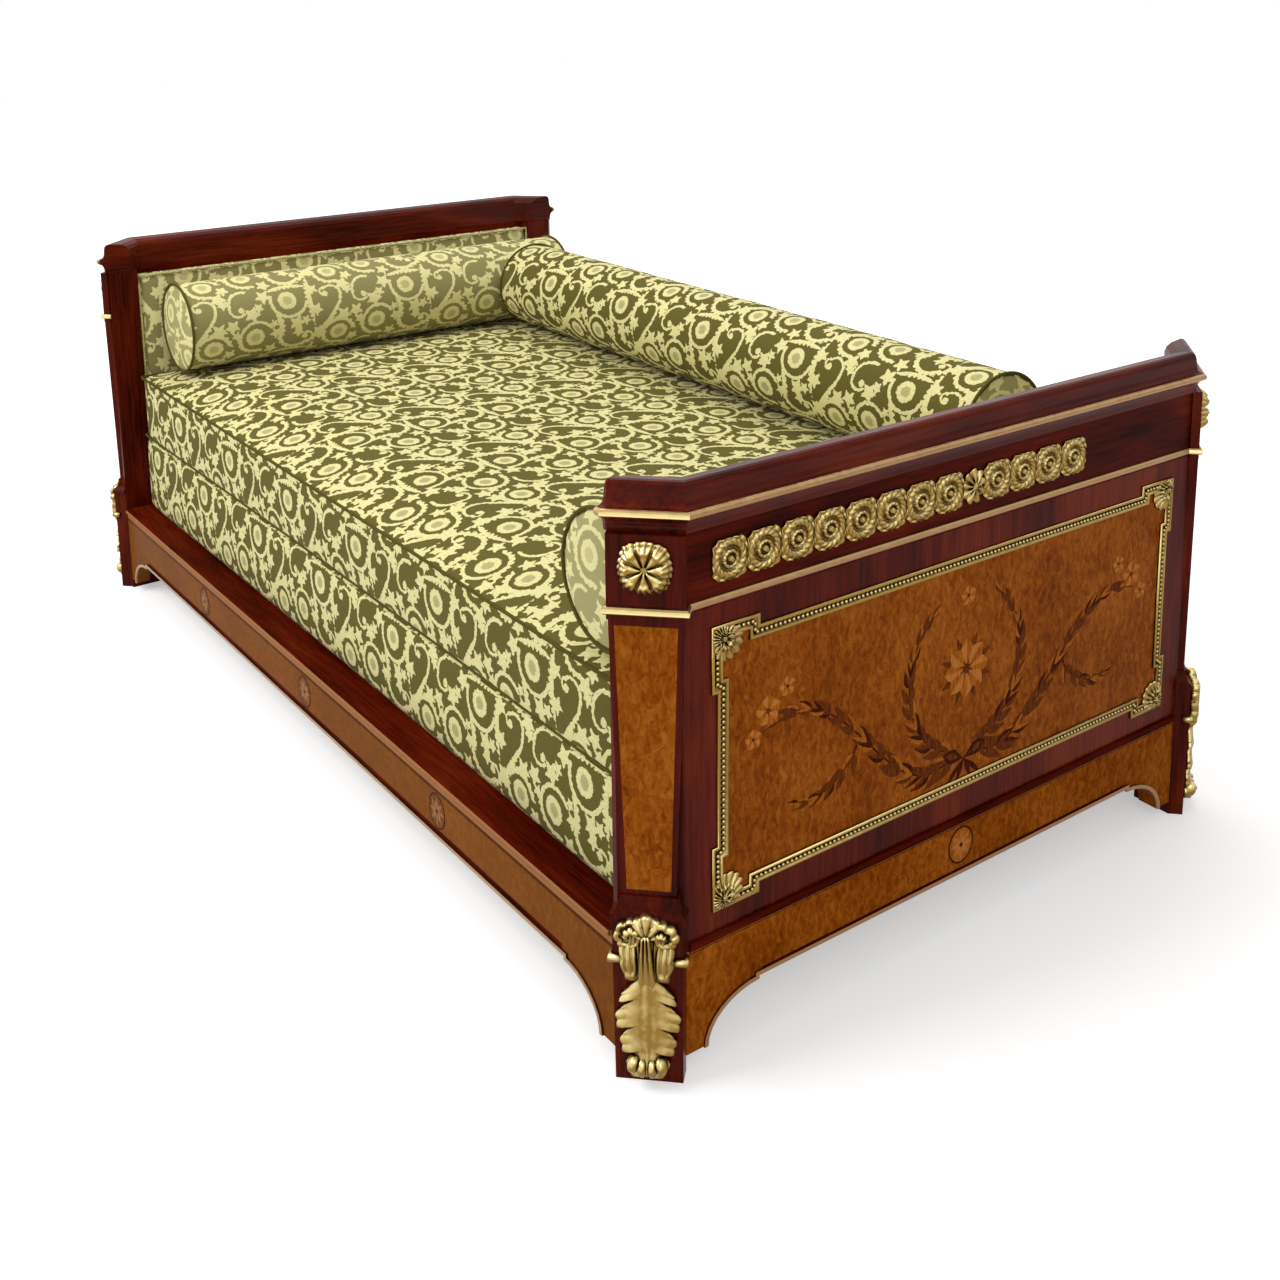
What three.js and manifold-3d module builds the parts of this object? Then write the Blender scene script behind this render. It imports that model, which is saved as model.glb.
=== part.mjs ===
// A daybed in the Louis XVI taste: two panelled end boards of one height between canted corner posts,
// low side rails with bracket feet, gilt bronze mounts, a box base, a mattress and three bolsters.
// Millimetres. +X runs to the foot end, +Y to the back, +Z up. The origin is on the floor at the middle.
import * as THREE from 'three';
import { mergeVertices } from 'three/addons/utils/BufferGeometryUtils.js';
import Module from 'manifold-3d';

const wasm = await Module();
wasm.setup();

// Overall case
const END_FACE = 1030; // middle of the bed to the outer face of an end board
const SIDE_FACE = 555; // middle of the bed to the outer face of a side rail
const FIT = 0.3; // clearance between pieces that touch
const OVERRUN = 6; // how far a cutting shape runs past what it cuts

// Heights above the floor
const BRACKET_BOTTOM = 21;
const RAIL_BOTTOM = 86;
const LEDGE_TOP = 185;
const APRON_TOP = 178;
const CAP_BOTTOM = 720;
const FRIEZE_HEIGHT = 96; // bead to the soffit of the cap
const FRIEZE_LIP = 8; // below the bead

// Corner posts: a square core whose outer corner is cut across, with a pilaster on the cut face
const POST_DEPTH = 68;
const POST_WIDTH = 61;
const CUT_SETBACK = 42; // virtual outer corner to the cut face
const PILASTER_EMBED = 2;
const FOOT_WIDTH = 86;
const FOOT_SETBACK = 20;
const PEDESTAL_WIDTH = 90;
const PEDESTAL_SETBACK = 19;
const PEDESTAL_TOP = 221;
const NECKING_WIDTH = 96;
const NECKING_SETBACK = 16;
const NECKING_SLAB = 6;
const NECKING_HEIGHT = 30;
const NECKING_NECK_WIDTH = 74;
const NECKING_NECK_SETBACK = 27;
const SHAFT_SETBACK = 30;
const SHAFT_BOTTOM_WIDTH = 69;
const SHAFT_TOP_WIDTH = 92;
const BLOCK_WIDTH = 96;
const BLOCK_LIP = 12; // frieze bead to the foot of the block

// Veneer slip let into each pilaster shaft
const SLIP_MARGIN = 7;
const SLIP_RISE = 7;
const SLIP_THICKNESS = 3;

// End boards
const BOARD_THICKNESS = 35;
const APRON_THICKNESS = 34;
const APRON_LIP = 5;
const APRON_LIP_HEIGHT = 15;
const PANEL_THICKNESS = 4;

// Cap rail
const CAP_OVERHANG = 20;
const CAP_CUT_SETBACK = 26;
const CAP_WIDTH = 55;
const CAP_HEIGHT = 62;
const CAP_COVE_DEPTH = 14;
const CAP_NOSE_HEIGHT = 25; // soffit to the middle of the nose bead
const BEAD_RADIUS = 5.5;

// Side rails
const RAIL_THICKNESS = 28;
const RAIL_LIP = 6;
const RAIL_LIP_HEIGHT = 9;
const LEDGE_WIDTH = 60;
const LEDGE_THICKNESS = 16;
const BEARER_WIDTH = 30;
const BEARER_HEIGHT = 26;
const SLAT_THICKNESS = 18;
const SLAT_WIDTH = 100;
const SLAT_COUNT = 6;

// Brackets at the ends of rails and aprons
const BRACKET_LENGTH = 84;
const BRACKET_STEP = 5;
const BRACKET_TOE = 33;
const TRIM_WIDTH = 6;
const TRIM_THICKNESS = 3;

// Bed bolts
const BOLT_HEIGHT = 140;
const BOLT_RADIUS = 5;
const BOLT_HEAD_RADIUS = 9;
const BOLT_HEAD_THICKNESS = 7;
const BOLT_HEAD_PLACE = 40; // end face to the outer side of the bolt head
const BOLT_LENGTH = 110;

// Bronze frame of the centre panel, with a projecting ear at each corner
const FRAME_SIDE_MARGIN = 41; // post to frame
const FRAME_TOP_MARGIN = 27; // frieze rail to frame
const FRAME_BOTTOM_MARGIN = 28; // apron to frame
const FRAME_EAR_LENGTH = 76;
const FRAME_EAR_HEIGHT = 88;
const FRAME_STEP_SIDE = 9;
const FRAME_STEP_TOP = 15;
const FRAME_WIDTH = 17;
const FRAME_FILLET = 3;
const FRAME_BEAD = 8;
const FRAME_MOUNT_SIZE = 40;

// Scroll mount of the frieze
const SCROLL_RADIUS = 25;
const SCROLL_SPACE = 4; // between two scrolls, bridged by the breadth of their bands
const SCROLL_EYE = 5;
const SCROLL_BAND = 6;
const SCROLL_DEPTH = 6;
const SCROLL_COUNT = 8;
const FOOT_BACK_SCROLL_COUNT = 4; // the foot board has lost the end of its mount
const PALMETTE_HALF_WIDTH = 22;
const PALMETTE_HALF_HEIGHT = 27;

// Rosettes and leaf mounts on the posts
const ROSETTE_DROP = 40; // soffit of the cap to the rosette's middle
const ROSETTE_RADIUS = 36;
const ROSETTE_DEPTH = 17;
const ROSETTE_PETALS = 8;
const LEAF_RISE = 15; // pedestal to the tip of the leaf
const LEAF_BOTTOM = 16;
const LEAF_WIDTH = 82;
const LEAF_DEPTH = 27;
const LEAF_BACKING = 2;
const PLINTH_BEAD_DROP = 51; // top of the pedestal to the bead
const PLINTH_BEAD_RADIUS = 6;

// Upholstery
const PAD_DROP = 12; // soffit of the cap to the pad
const PAD_THICKNESS = 32;
const PAD_CROWN = 4;
const BASE_HEIGHT = 162;
const MATTRESS_HEIGHT = 136;
const UPHOLSTERY_SETBACK = 43; // outer face of a side rail to the edge of the base
const UPHOLSTERY_END_GAP = 2;
const MATTRESS_CROWN = 36;
const MATTRESS_SAG = 5;
const MATTRESS_DRAW = 7;
const MATTRESS_CORNER = 16;
const BASE_CROWN = 2;
const BASE_DRAW = 3;
const BASE_CORNER = 8;
const BOLSTER_RADIUS = 99;
const BOLSTER_GAP = 2;
const BOLSTER_FACETS = 24;
const BOLSTER_ROUNDING = 12;
const BOLSTER_DOME = 6;
const HEAD_BOLSTER_SETBACK = 55; // edge of the base to the bolster's front end
const BOLSTER_SETBACK = 9; // edge of the base to the other bolster ends
const BACK_BOLSTER_SETBACK = 130; // edge of the base to the middle of the back bolster

const MATTRESS_STEPS = [20, 14, 4];

// Derived places
const DIAGONAL = Math.SQRT2;
const POST_INNER_X = END_FACE - POST_DEPTH;
const POST_INNER_Y = SIDE_FACE - POST_WIDTH;
const BOARD_HALF_LENGTH = POST_INNER_Y - FIT;
const BOARD_INNER_X = END_FACE - BOARD_THICKNESS;
const RAIL_HALF_LENGTH = POST_INNER_X - FIT;
const RAIL_INNER_Y = SIDE_FACE - RAIL_THICKNESS;
const FRIEZE_BEAD_HEIGHT = CAP_BOTTOM - FRIEZE_HEIGHT;
const FRIEZE_BOTTOM = FRIEZE_BEAD_HEIGHT - FRIEZE_LIP;
const BLOCK_BOTTOM = FRIEZE_BEAD_HEIGHT - BLOCK_LIP;
const NECKING_TOP = PEDESTAL_TOP + NECKING_HEIGHT;
const LEAF_TOP = PEDESTAL_TOP + LEAF_RISE;
const PLINTH_BEAD_HEIGHT = PEDESTAL_TOP - PLINTH_BEAD_DROP;
const FRAME_HALF_LENGTH = POST_INNER_Y - FRAME_SIDE_MARGIN;
const FRAME_TOP = FRIEZE_BOTTOM - FRAME_TOP_MARGIN;
const FRAME_BOTTOM = APRON_TOP + FRAME_BOTTOM_MARGIN;
const SCROLL_PITCH = 2 * SCROLL_RADIUS + SCROLL_SPACE;
const SCROLL_HEIGHT = CAP_BOTTOM - FRIEZE_HEIGHT / 2;
const ROSETTE_HEIGHT = CAP_BOTTOM - ROSETTE_DROP;
const BASE_BOTTOM = LEDGE_TOP + FIT;
const MATTRESS_BOTTOM = BASE_BOTTOM + BASE_HEIGHT + FIT;
const MATTRESS_TOP = MATTRESS_BOTTOM + MATTRESS_HEIGHT;
const UPHOLSTERY_HALF_LENGTH = POST_INNER_X - UPHOLSTERY_END_GAP;
const UPHOLSTERY_HALF_WIDTH = SIDE_FACE - UPHOLSTERY_SETBACK;
const PAD_TOP = CAP_BOTTOM - PAD_DROP;
const HEAD_BOLSTER_FRONT = UPHOLSTERY_HALF_WIDTH - HEAD_BOLSTER_SETBACK;
const BOLSTER_REACH = UPHOLSTERY_HALF_WIDTH - BOLSTER_SETBACK;
const BACK_BOLSTER_LINE = UPHOLSTERY_HALF_WIDTH - BACK_BOLSTER_SETBACK;

// Finishes
const MAHOGANY = { color: '#4a130b', roughness: 0.32, metalness: 0 };
const BURR = { color: '#9a5314', roughness: 0.35, metalness: 0 };
const BRONZE = { color: '#c9a048', roughness: 0.35, metalness: 1 };
const DAMASK = { color: '#9a9550', roughness: 0.8, metalness: 0 };
const BEECH = { color: '#b98d5a', roughness: 0.7, metalness: 0 };
const STEEL = { color: '#777777', roughness: 0.45, metalness: 1 };

const bed = new THREE.Group();

// Shape tools

// Turns a closed surface the right way out, whichever way it was wound.
function facedOut(geometry) {
  const flat = geometry.index ? geometry : mergeVertices(geometry);
  const place = flat.getAttribute('position');
  const index = flat.index.array;
  const a = new THREE.Vector3();
  const b = new THREE.Vector3();
  const c = new THREE.Vector3();
  let volume = 0;
  for (let i = 0; i < index.length; i += 3) {
    a.fromBufferAttribute(place, index[i]);
    b.fromBufferAttribute(place, index[i + 1]);
    c.fromBufferAttribute(place, index[i + 2]);
    volume += a.dot(b.cross(c));
  }
  if (volume < 0) {
    for (let i = 0; i < index.length; i += 3) {
      [index[i + 1], index[i + 2]] = [index[i + 2], index[i + 1]];
    }
  }
  return flat;
}

function cleaned(geometry) {
  const bare = geometry.clone();
  bare.deleteAttribute('normal');
  bare.deleteAttribute('uv');
  return facedOut(mergeVertices(bare));
}

function solidFrom(geometry) {
  const closed = cleaned(geometry);
  return new wasm.Manifold(new wasm.Mesh({
    numProp: 3,
    vertProperties: new Float32Array(closed.getAttribute('position').array),
    triVerts: new Uint32Array(closed.index.array),
  }));
}

function geometryFrom(solid) {
  const mesh = solid.getMesh();
  const geometry = new THREE.BufferGeometry();
  geometry.setAttribute('position', new THREE.BufferAttribute(new Float32Array(mesh.vertProperties), 3));
  geometry.setIndex(new THREE.BufferAttribute(new Uint32Array(mesh.triVerts), 1));
  return geometry;
}

function joined(parts) {
  return geometryFrom(parts.map(solidFrom).reduce((whole, part) => whole.add(part)));
}

function cut(whole, tools) {
  return geometryFrom(tools.map(solidFrom).reduce((rest, tool) => rest.subtract(tool), solidFrom(whole)));
}

function surfaceFrom(points, faces) {
  const geometry = new THREE.BufferGeometry();
  geometry.setAttribute('position', new THREE.Float32BufferAttribute(points.flatMap((p) => [p.x, p.y, p.z]), 3));
  geometry.setIndex(faces.flat());
  return facedOut(geometry);
}

// Joins a row of rings with equal counts of points and closes both ends.
function loft(rings, closedLoop = false) {
  const count = rings[0].length;
  const faces = [];
  const steps = closedLoop ? rings.length : rings.length - 1;
  for (let r = 0; r < steps; r += 1) {
    const next = (r + 1) % rings.length;
    for (let i = 0; i < count; i += 1) {
      const j = (i + 1) % count;
      const [a, b, c, d] = [r * count + i, r * count + j, next * count + j, next * count + i];
      faces.push([a, b, c], [a, c, d]);
    }
  }
  if (!closedLoop) {
    const caps = endCap(rings[0]);
    const last = (rings.length - 1) * count;
    for (const [a, b, c] of caps) {
      faces.push([c, b, a], [last + a, last + b, last + c]);
    }
  }
  return surfaceFrom(rings.flat(), faces);
}

// Triangles of a flat ring, turned the same way round as the ring.
function endCap(ring) {
  const normal = new THREE.Vector3();
  for (let i = 0; i < ring.length; i += 1) {
    normal.add(new THREE.Vector3().crossVectors(ring[i], ring[(i + 1) % ring.length]));
  }
  const size = [Math.abs(normal.x), Math.abs(normal.y), Math.abs(normal.z)];
  const drop = size.indexOf(Math.max(...size));
  const flat = ring.map((p) => {
    if (drop === 0) return new THREE.Vector2(p.y, p.z);
    if (drop === 1) return new THREE.Vector2(p.z, p.x);
    return new THREE.Vector2(p.x, p.y);
  });
  const turned = THREE.ShapeUtils.area(flat) < 0;
  const triangles = THREE.ShapeUtils.triangulateShape(turned ? [...flat].reverse() : flat, []);
  if (!turned) return triangles;
  return triangles.map(([a, b, c]) => [c, b, a].map((i) => ring.length - 1 - i));
}

function block(x0, x1, y0, y1, z0, z1) {
  const geometry = new THREE.BoxGeometry(x1 - x0, y1 - y0, z1 - z0);
  return geometry.translate((x0 + x1) / 2, (y0 + y1) / 2, (z0 + z1) / 2);
}

// Extrudes an outline drawn in Y and Z along X.
function slabAlongX(outline, x0, x1) {
  return loft([x0, x1].map((x) => outline.map(([y, z]) => new THREE.Vector3(x, y, z))));
}

// Extrudes an outline drawn in X and Z along Y.
function slabAlongY(outline, y0, y1) {
  return loft([y0, y1].map((y) => outline.map(([x, z]) => new THREE.Vector3(x, y, z))));
}

// Mitred offset directions of a flat path, to the left of its run.
function mitres(path, closedLoop) {
  return path.map((p, i) => {
    const before = closedLoop || i > 0 ? path[(i - 1 + path.length) % path.length] : null;
    const after = closedLoop || i < path.length - 1 ? path[(i + 1) % path.length] : null;
    const sides = [];
    if (before) sides.push([p[0] - before[0], p[1] - before[1]]);
    if (after) sides.push([after[0] - p[0], after[1] - p[1]]);
    const normals = sides.map(([dx, dy]) => {
      const length = Math.hypot(dx, dy);
      return [-dy / length, dx / length];
    });
    const sum = [0, 1].map((k) => normals.reduce((s, n) => s + n[k], 0) / normals.length);
    const scale = 1 / (sum[0] ** 2 + sum[1] ** 2);
    return [sum[0] * scale, sum[1] * scale];
  });
}

function offsetPath(path, distance, closedLoop = true) {
  const sideways = mitres(path, closedLoop);
  return path.map(([a, b], i) => [a + sideways[i][0] * distance, b + sideways[i][1] * distance]);
}

// Runs a moulding profile of [distance to the left, rise] pairs along a flat path.
// Place turns (along, across, rise) of the path's own plane into a point of the bed.
function moulding(path, profile, place, closedLoop = false) {
  const sideways = mitres(path, closedLoop);
  const rings = path.map(([a, b], i) => profile.map(
    ([d, rise]) => place(a + sideways[i][0] * d, b + sideways[i][1] * d, rise),
  ));
  return loft(rings, closedLoop);
}

const inPlan = (x, y, z) => new THREE.Vector3(x, y, z);

function halfRound(radius, steps, seat) {
  const points = [];
  for (let i = 0; i <= steps; i += 1) {
    const angle = Math.PI * (i / steps - 0.5);
    points.push([seat - radius * Math.cos(angle), radius * Math.sin(angle)]);
  }
  return points;
}

function addPiece(name, geometry, finish) {
  const material = new THREE.MeshStandardMaterial(finish);
  const mesh = new THREE.Mesh(cleaned(geometry), material);
  mesh.name = name;
  bed.add(mesh);
}

// Copies a shape made for the foot end and the back to another end and side.
function mirrored(geometry, endSign, sideSign) {
  const copy = geometry.clone();
  copy.scale(endSign, sideSign, 1);
  return cleaned(copy);
}

// A point on or near a cut corner: setback from the virtual corner, across its face, and up.
function cornerPoint(setback, across, z) {
  const inward = setback / DIAGONAL;
  const sideways = across / DIAGONAL;
  return new THREE.Vector3(END_FACE - inward - sideways, SIDE_FACE - inward + sideways, z);
}

// Corner posts

function postCore() {
  const square = block(POST_INNER_X, END_FACE, POST_INNER_Y, SIDE_FACE, 0, CAP_BOTTOM - FIT);
  const reach = CUT_SETBACK + POST_DEPTH + POST_WIDTH;
  const outside = [0, CAP_BOTTOM + OVERRUN].map((z) => [
    cornerPoint(CUT_SETBACK, -reach, z - OVERRUN / 2),
    cornerPoint(CUT_SETBACK, reach, z - OVERRUN / 2),
    cornerPoint(-reach, reach, z - OVERRUN / 2),
    cornerPoint(-reach, -reach, z - OVERRUN / 2),
  ]);
  return cut(square, [loft(outside)]);
}

function pilasterRing(z, width, setback) {
  const back = CUT_SETBACK + PILASTER_EMBED;
  return [
    cornerPoint(setback, -width / 2, z),
    cornerPoint(setback, width / 2, z),
    cornerPoint(back, width / 2, z),
    cornerPoint(back, -width / 2, z),
  ];
}

function pilaster() {
  const neckRise = (NECKING_TOP - PEDESTAL_TOP) / 3;
  const midWidth = (NECKING_WIDTH + 2 * NECKING_NECK_WIDTH) / 3;
  const midSetback = (NECKING_SETBACK + 2 * NECKING_NECK_SETBACK) / 3;
  const levels = [
    [0, FOOT_WIDTH, FOOT_SETBACK],
    [PEDESTAL_TOP, PEDESTAL_WIDTH, PEDESTAL_SETBACK],
    [PEDESTAL_TOP, NECKING_WIDTH, NECKING_SETBACK],
    [PEDESTAL_TOP + NECKING_SLAB, NECKING_WIDTH, NECKING_SETBACK],
    [PEDESTAL_TOP + neckRise + NECKING_SLAB / 2, midWidth, midSetback],
    [NECKING_TOP - NECKING_SLAB, NECKING_NECK_WIDTH, NECKING_NECK_SETBACK],
    [NECKING_TOP, NECKING_NECK_WIDTH, NECKING_NECK_SETBACK],
    [NECKING_TOP, SHAFT_BOTTOM_WIDTH, SHAFT_SETBACK],
    [BLOCK_BOTTOM, SHAFT_TOP_WIDTH, SHAFT_SETBACK],
    [BLOCK_BOTTOM, BLOCK_WIDTH, SHAFT_SETBACK],
    [CAP_BOTTOM - FIT, BLOCK_WIDTH, SHAFT_SETBACK],
  ];
  const boardSpace = block(0, END_FACE + FIT, 0, POST_INNER_Y, -OVERRUN, CAP_BOTTOM + OVERRUN);
  const railSpace = block(0, POST_INNER_X, 0, SIDE_FACE + FIT, -OVERRUN, CAP_BOTTOM + OVERRUN);
  return cut(loft(levels.map(([z, width, setback]) => pilasterRing(z, width, setback))), [boardSpace, railSpace]);
}

function slipRings(thickness, clearance) {
  const taper = (SHAFT_TOP_WIDTH - SHAFT_BOTTOM_WIDTH) / (BLOCK_BOTTOM - NECKING_TOP);
  const bottom = NECKING_TOP + SLIP_RISE - clearance;
  const top = BLOCK_BOTTOM - SLIP_RISE + clearance;
  return [bottom, top].map((z) => {
    const half = (SHAFT_BOTTOM_WIDTH + taper * (z - NECKING_TOP)) / 2 - SLIP_MARGIN + clearance;
    const front = SHAFT_SETBACK - (clearance > 0 ? OVERRUN : 0);
    const back = SHAFT_SETBACK + thickness + clearance;
    return [
      cornerPoint(front, -half, z),
      cornerPoint(front, half, z),
      cornerPoint(back, half, z),
      cornerPoint(back, -half, z),
    ];
  });
}

function rod(radius, x0, x1, sides) {
  const geometry = new THREE.CylinderGeometry(radius, radius, x1 - x0, sides);
  return geometry.rotateZ(-Math.PI / 2).translate((x0 + x1) / 2, SIDE_FACE - RAIL_THICKNESS / 2, BOLT_HEIGHT);
}

function boltHole() {
  const headOuter = END_FACE - BOLT_HEAD_PLACE;
  const headInner = headOuter - BOLT_HEAD_THICKNESS - FIT;
  const shankEnd = headOuter - BOLT_LENGTH;
  return joined([
    rod(BOLT_RADIUS + FIT, shankEnd - FIT, headOuter, 16),
    rod(BOLT_HEAD_RADIUS + FIT, headInner, END_FACE + POST_DEPTH, 16),
  ]);
}

function bedBolt() {
  const headOuter = END_FACE - BOLT_HEAD_PLACE;
  const shank = rod(BOLT_RADIUS, headOuter - BOLT_LENGTH, headOuter - BOLT_HEAD_THICKNESS / 2, 16);
  return joined([shank, rod(BOLT_HEAD_RADIUS, headOuter - BOLT_HEAD_THICKNESS, headOuter, 6)]);
}

function post() {
  return cut(joined([postCore(), pilaster()]), [loft(slipRings(SLIP_THICKNESS, FIT)), boltHole()]);
}

// Cap rail: a nose with a bronze bead, a cove below it and an ogee above, returned round both corners

function capPath() {
  const x = END_FACE + CAP_OVERHANG;
  const y = SIDE_FACE + CAP_OVERHANG;
  const sum = END_FACE + SIDE_FACE - CAP_CUT_SETBACK * DIAGONAL;
  return [
    [POST_INNER_X, y],
    [sum - y, y],
    [x, sum - x],
    [x, x - sum],
    [sum - y, -y],
    [POST_INNER_X, -y],
  ].reverse();
}

function capProfile() {
  const nose = CAP_BOTTOM + CAP_NOSE_HEIGHT;
  const top = CAP_BOTTOM + CAP_HEIGHT;
  const upper = nose + BEAD_RADIUS + FIT;
  const ogeeRise = top - upper;
  const ogeeRun = CAP_WIDTH * 0.36;
  const points = [
    [CAP_WIDTH, CAP_BOTTOM],
    [CAP_COVE_DEPTH, CAP_BOTTOM],
  ];
  const coveRise = nose - BEAD_RADIUS - FIT - CAP_BOTTOM;
  for (let i = 1; i <= 5; i += 1) {
    const angle = (Math.PI / 2) * (i / 5);
    points.push([
      BEAD_RADIUS + (CAP_COVE_DEPTH - BEAD_RADIUS) * Math.cos(angle),
      CAP_BOTTOM + coveRise * (0.15 + 0.85 * Math.sin(angle)),
    ]);
  }
  points.push([BEAD_RADIUS, upper]);
  for (let i = 1; i <= 8; i += 1) {
    const share = i / 8;
    const swing = 0.13 * Math.sin(2 * Math.PI * share);
    points.push([BEAD_RADIUS + ogeeRun * (share + swing), upper + ogeeRise * (share - swing)]);
  }
  points.push([CAP_WIDTH * 0.78, top - CAP_HEIGHT * 0.04]);
  points.push([CAP_WIDTH * 0.94, top - CAP_HEIGHT * 0.12]);
  points.push([CAP_WIDTH, top - CAP_HEIGHT * 0.24]);
  return points.map(([d, z]) => [d, z]);
}

function capRail() {
  const path = capPath();
  const [first, last] = [path[0], path[path.length - 1]];
  const longer = [[first[0] - CAP_WIDTH, first[1]], ...path.slice(1, -1), [last[0] - CAP_WIDTH, last[1]]];
  const reach = SIDE_FACE + CAP_OVERHANG + OVERRUN;
  const inside = block(0, POST_INNER_X, -reach, reach, 0, CAP_BOTTOM + CAP_HEIGHT + OVERRUN);
  return cut(moulding(longer, capProfile(), inPlan), [inside]);
}

function capBead() {
  const profile = halfRound(BEAD_RADIUS - FIT, 6, BEAD_RADIUS - FIT);
  const path = capPath();
  return moulding(path, profile, (x, y, rise) => inPlan(x, y, CAP_BOTTOM + CAP_NOSE_HEIGHT + rise));
}

// Plan outline of the case at the frieze, from the side return of one pilaster to the other
function caseOutline(width, setback) {
  const seat = setback - FIT;
  const across = width / 2 + FIT;
  const front = cornerPoint(seat, across, 0);
  const face = cornerPoint(seat, -across, 0);
  const outerX = END_FACE + FIT;
  const returnRun = face.x - outerX;
  const sideRun = front.y - SIDE_FACE - FIT;
  return [
    [front.x - sideRun, front.y - sideRun],
    [front.x, front.y],
    [face.x, face.y],
    [outerX, face.y - returnRun],
  ];
}

function friezeBead() {
  const back = caseOutline(BLOCK_WIDTH, SHAFT_SETBACK);
  const path = [...back, ...back.map(([x, y]) => [x, -y]).reverse()].reverse();
  const profile = halfRound(BEAD_RADIUS, 6, 0);
  return moulding(path, profile, (x, y, rise) => inPlan(x, y, FRIEZE_BEAD_HEIGHT + rise));
}

// Boards, rails and aprons

function bracketCurve(start) {
  const points = [[start, RAIL_BOTTOM], [start, RAIL_BOTTOM - BRACKET_STEP]];
  const steps = 8;
  const drop = RAIL_BOTTOM - BRACKET_STEP - BRACKET_BOTTOM;
  for (let i = 1; i <= steps; i += 1) {
    const angle = (Math.PI / 2) * (i / steps);
    points.push([start + BRACKET_LENGTH * Math.sin(angle), BRACKET_BOTTOM + drop * Math.cos(angle)]);
  }
  return points;
}

function lowerEdge(halfLength) {
  const right = bracketCurve(halfLength - BRACKET_TOE - BRACKET_LENGTH);
  return [...right.map(([a, z]) => [-a, z]).reverse(), ...right];
}

function bracketedOutline(halfLength, top) {
  return [
    [-halfLength, BRACKET_BOTTOM],
    ...lowerEdge(halfLength),
    [halfLength, BRACKET_BOTTOM],
    [halfLength, top],
    [-halfLength, top],
  ];
}

function apron() {
  const board = slabAlongX(bracketedOutline(BOARD_HALF_LENGTH, APRON_TOP), END_FACE - APRON_THICKNESS, END_FACE);
  const lipBottom = APRON_TOP - APRON_LIP_HEIGHT;
  const section = [
    [END_FACE - OVERRUN, lipBottom],
    [END_FACE, lipBottom],
    [END_FACE + APRON_LIP * 0.6, lipBottom + APRON_LIP_HEIGHT * 0.2],
    [END_FACE + APRON_LIP * 0.6, lipBottom + APRON_LIP_HEIGHT * 0.45],
    [END_FACE + APRON_LIP, lipBottom + APRON_LIP_HEIGHT * 0.6],
    [END_FACE + APRON_LIP, APRON_TOP - APRON_LIP_HEIGHT * 0.15],
    [END_FACE + APRON_LIP * 0.7, APRON_TOP],
    [END_FACE - OVERRUN, APRON_TOP],
  ];
  const clear = BOARD_HALF_LENGTH - APRON_LIP;
  const lip = loft([-clear, clear].map((y) => section.map(([x, z]) => new THREE.Vector3(x, y, z))));
  return joined([board, lip]);
}

function sideRail() {
  const outline = bracketedOutline(RAIL_HALF_LENGTH, LEDGE_TOP);
  const board = slabAlongY(outline, RAIL_INNER_Y, SIDE_FACE);
  const lipBottom = LEDGE_TOP - RAIL_LIP_HEIGHT;
  const section = [
    [SIDE_FACE - OVERRUN, lipBottom],
    [SIDE_FACE, lipBottom],
    [SIDE_FACE + RAIL_LIP * 0.8, lipBottom + RAIL_LIP_HEIGHT * 0.25],
    [SIDE_FACE + RAIL_LIP, lipBottom + RAIL_LIP_HEIGHT * 0.55],
    [SIDE_FACE + RAIL_LIP * 0.7, LEDGE_TOP - RAIL_LIP_HEIGHT * 0.1],
    [SIDE_FACE + RAIL_LIP * 0.3, LEDGE_TOP],
    [SIDE_FACE - OVERRUN, LEDGE_TOP],
  ];
  const lipHalf = RAIL_HALF_LENGTH - RAIL_LIP;
  const lip = loft([-lipHalf, lipHalf].map((x) => section.map(([y, z]) => new THREE.Vector3(x, y, z))));
  const ledge = block(
    -RAIL_HALF_LENGTH, RAIL_HALF_LENGTH, SIDE_FACE - LEDGE_WIDTH, SIDE_FACE - OVERRUN,
    LEDGE_TOP - LEDGE_THICKNESS, LEDGE_TOP,
  );
  const hole = boltHole();
  const farHole = mirrored(hole, -1, 1);
  return cut(joined([board, lip, ledge]), [hole, farHole]);
}

// Narrow strip that follows the lower edge of a rail or an apron
function trimOutline(halfLength) {
  const edge = lowerEdge(halfLength);
  const lifted = offsetPath(edge, TRIM_WIDTH, false);
  lifted[0] = [edge[0][0] - TRIM_WIDTH, edge[0][1]];
  lifted[lifted.length - 1] = [edge[edge.length - 1][0] + TRIM_WIDTH, edge[edge.length - 1][1]];
  return [...edge, ...lifted.reverse()];
}

function apronTrim() {
  return slabAlongX(trimOutline(BOARD_HALF_LENGTH), END_FACE + FIT, END_FACE + FIT + TRIM_THICKNESS);
}

function railTrim() {
  return slabAlongY(trimOutline(RAIL_HALF_LENGTH), SIDE_FACE + FIT, SIDE_FACE + FIT + TRIM_THICKNESS);
}

function friezeRail() {
  return block(
    BOARD_INNER_X, END_FACE, -BOARD_HALF_LENGTH, BOARD_HALF_LENGTH,
    FRIEZE_BOTTOM, CAP_BOTTOM - FIT,
  );
}

// Bronze panel frame: a moulded ring with an ear stepping out at each corner

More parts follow.
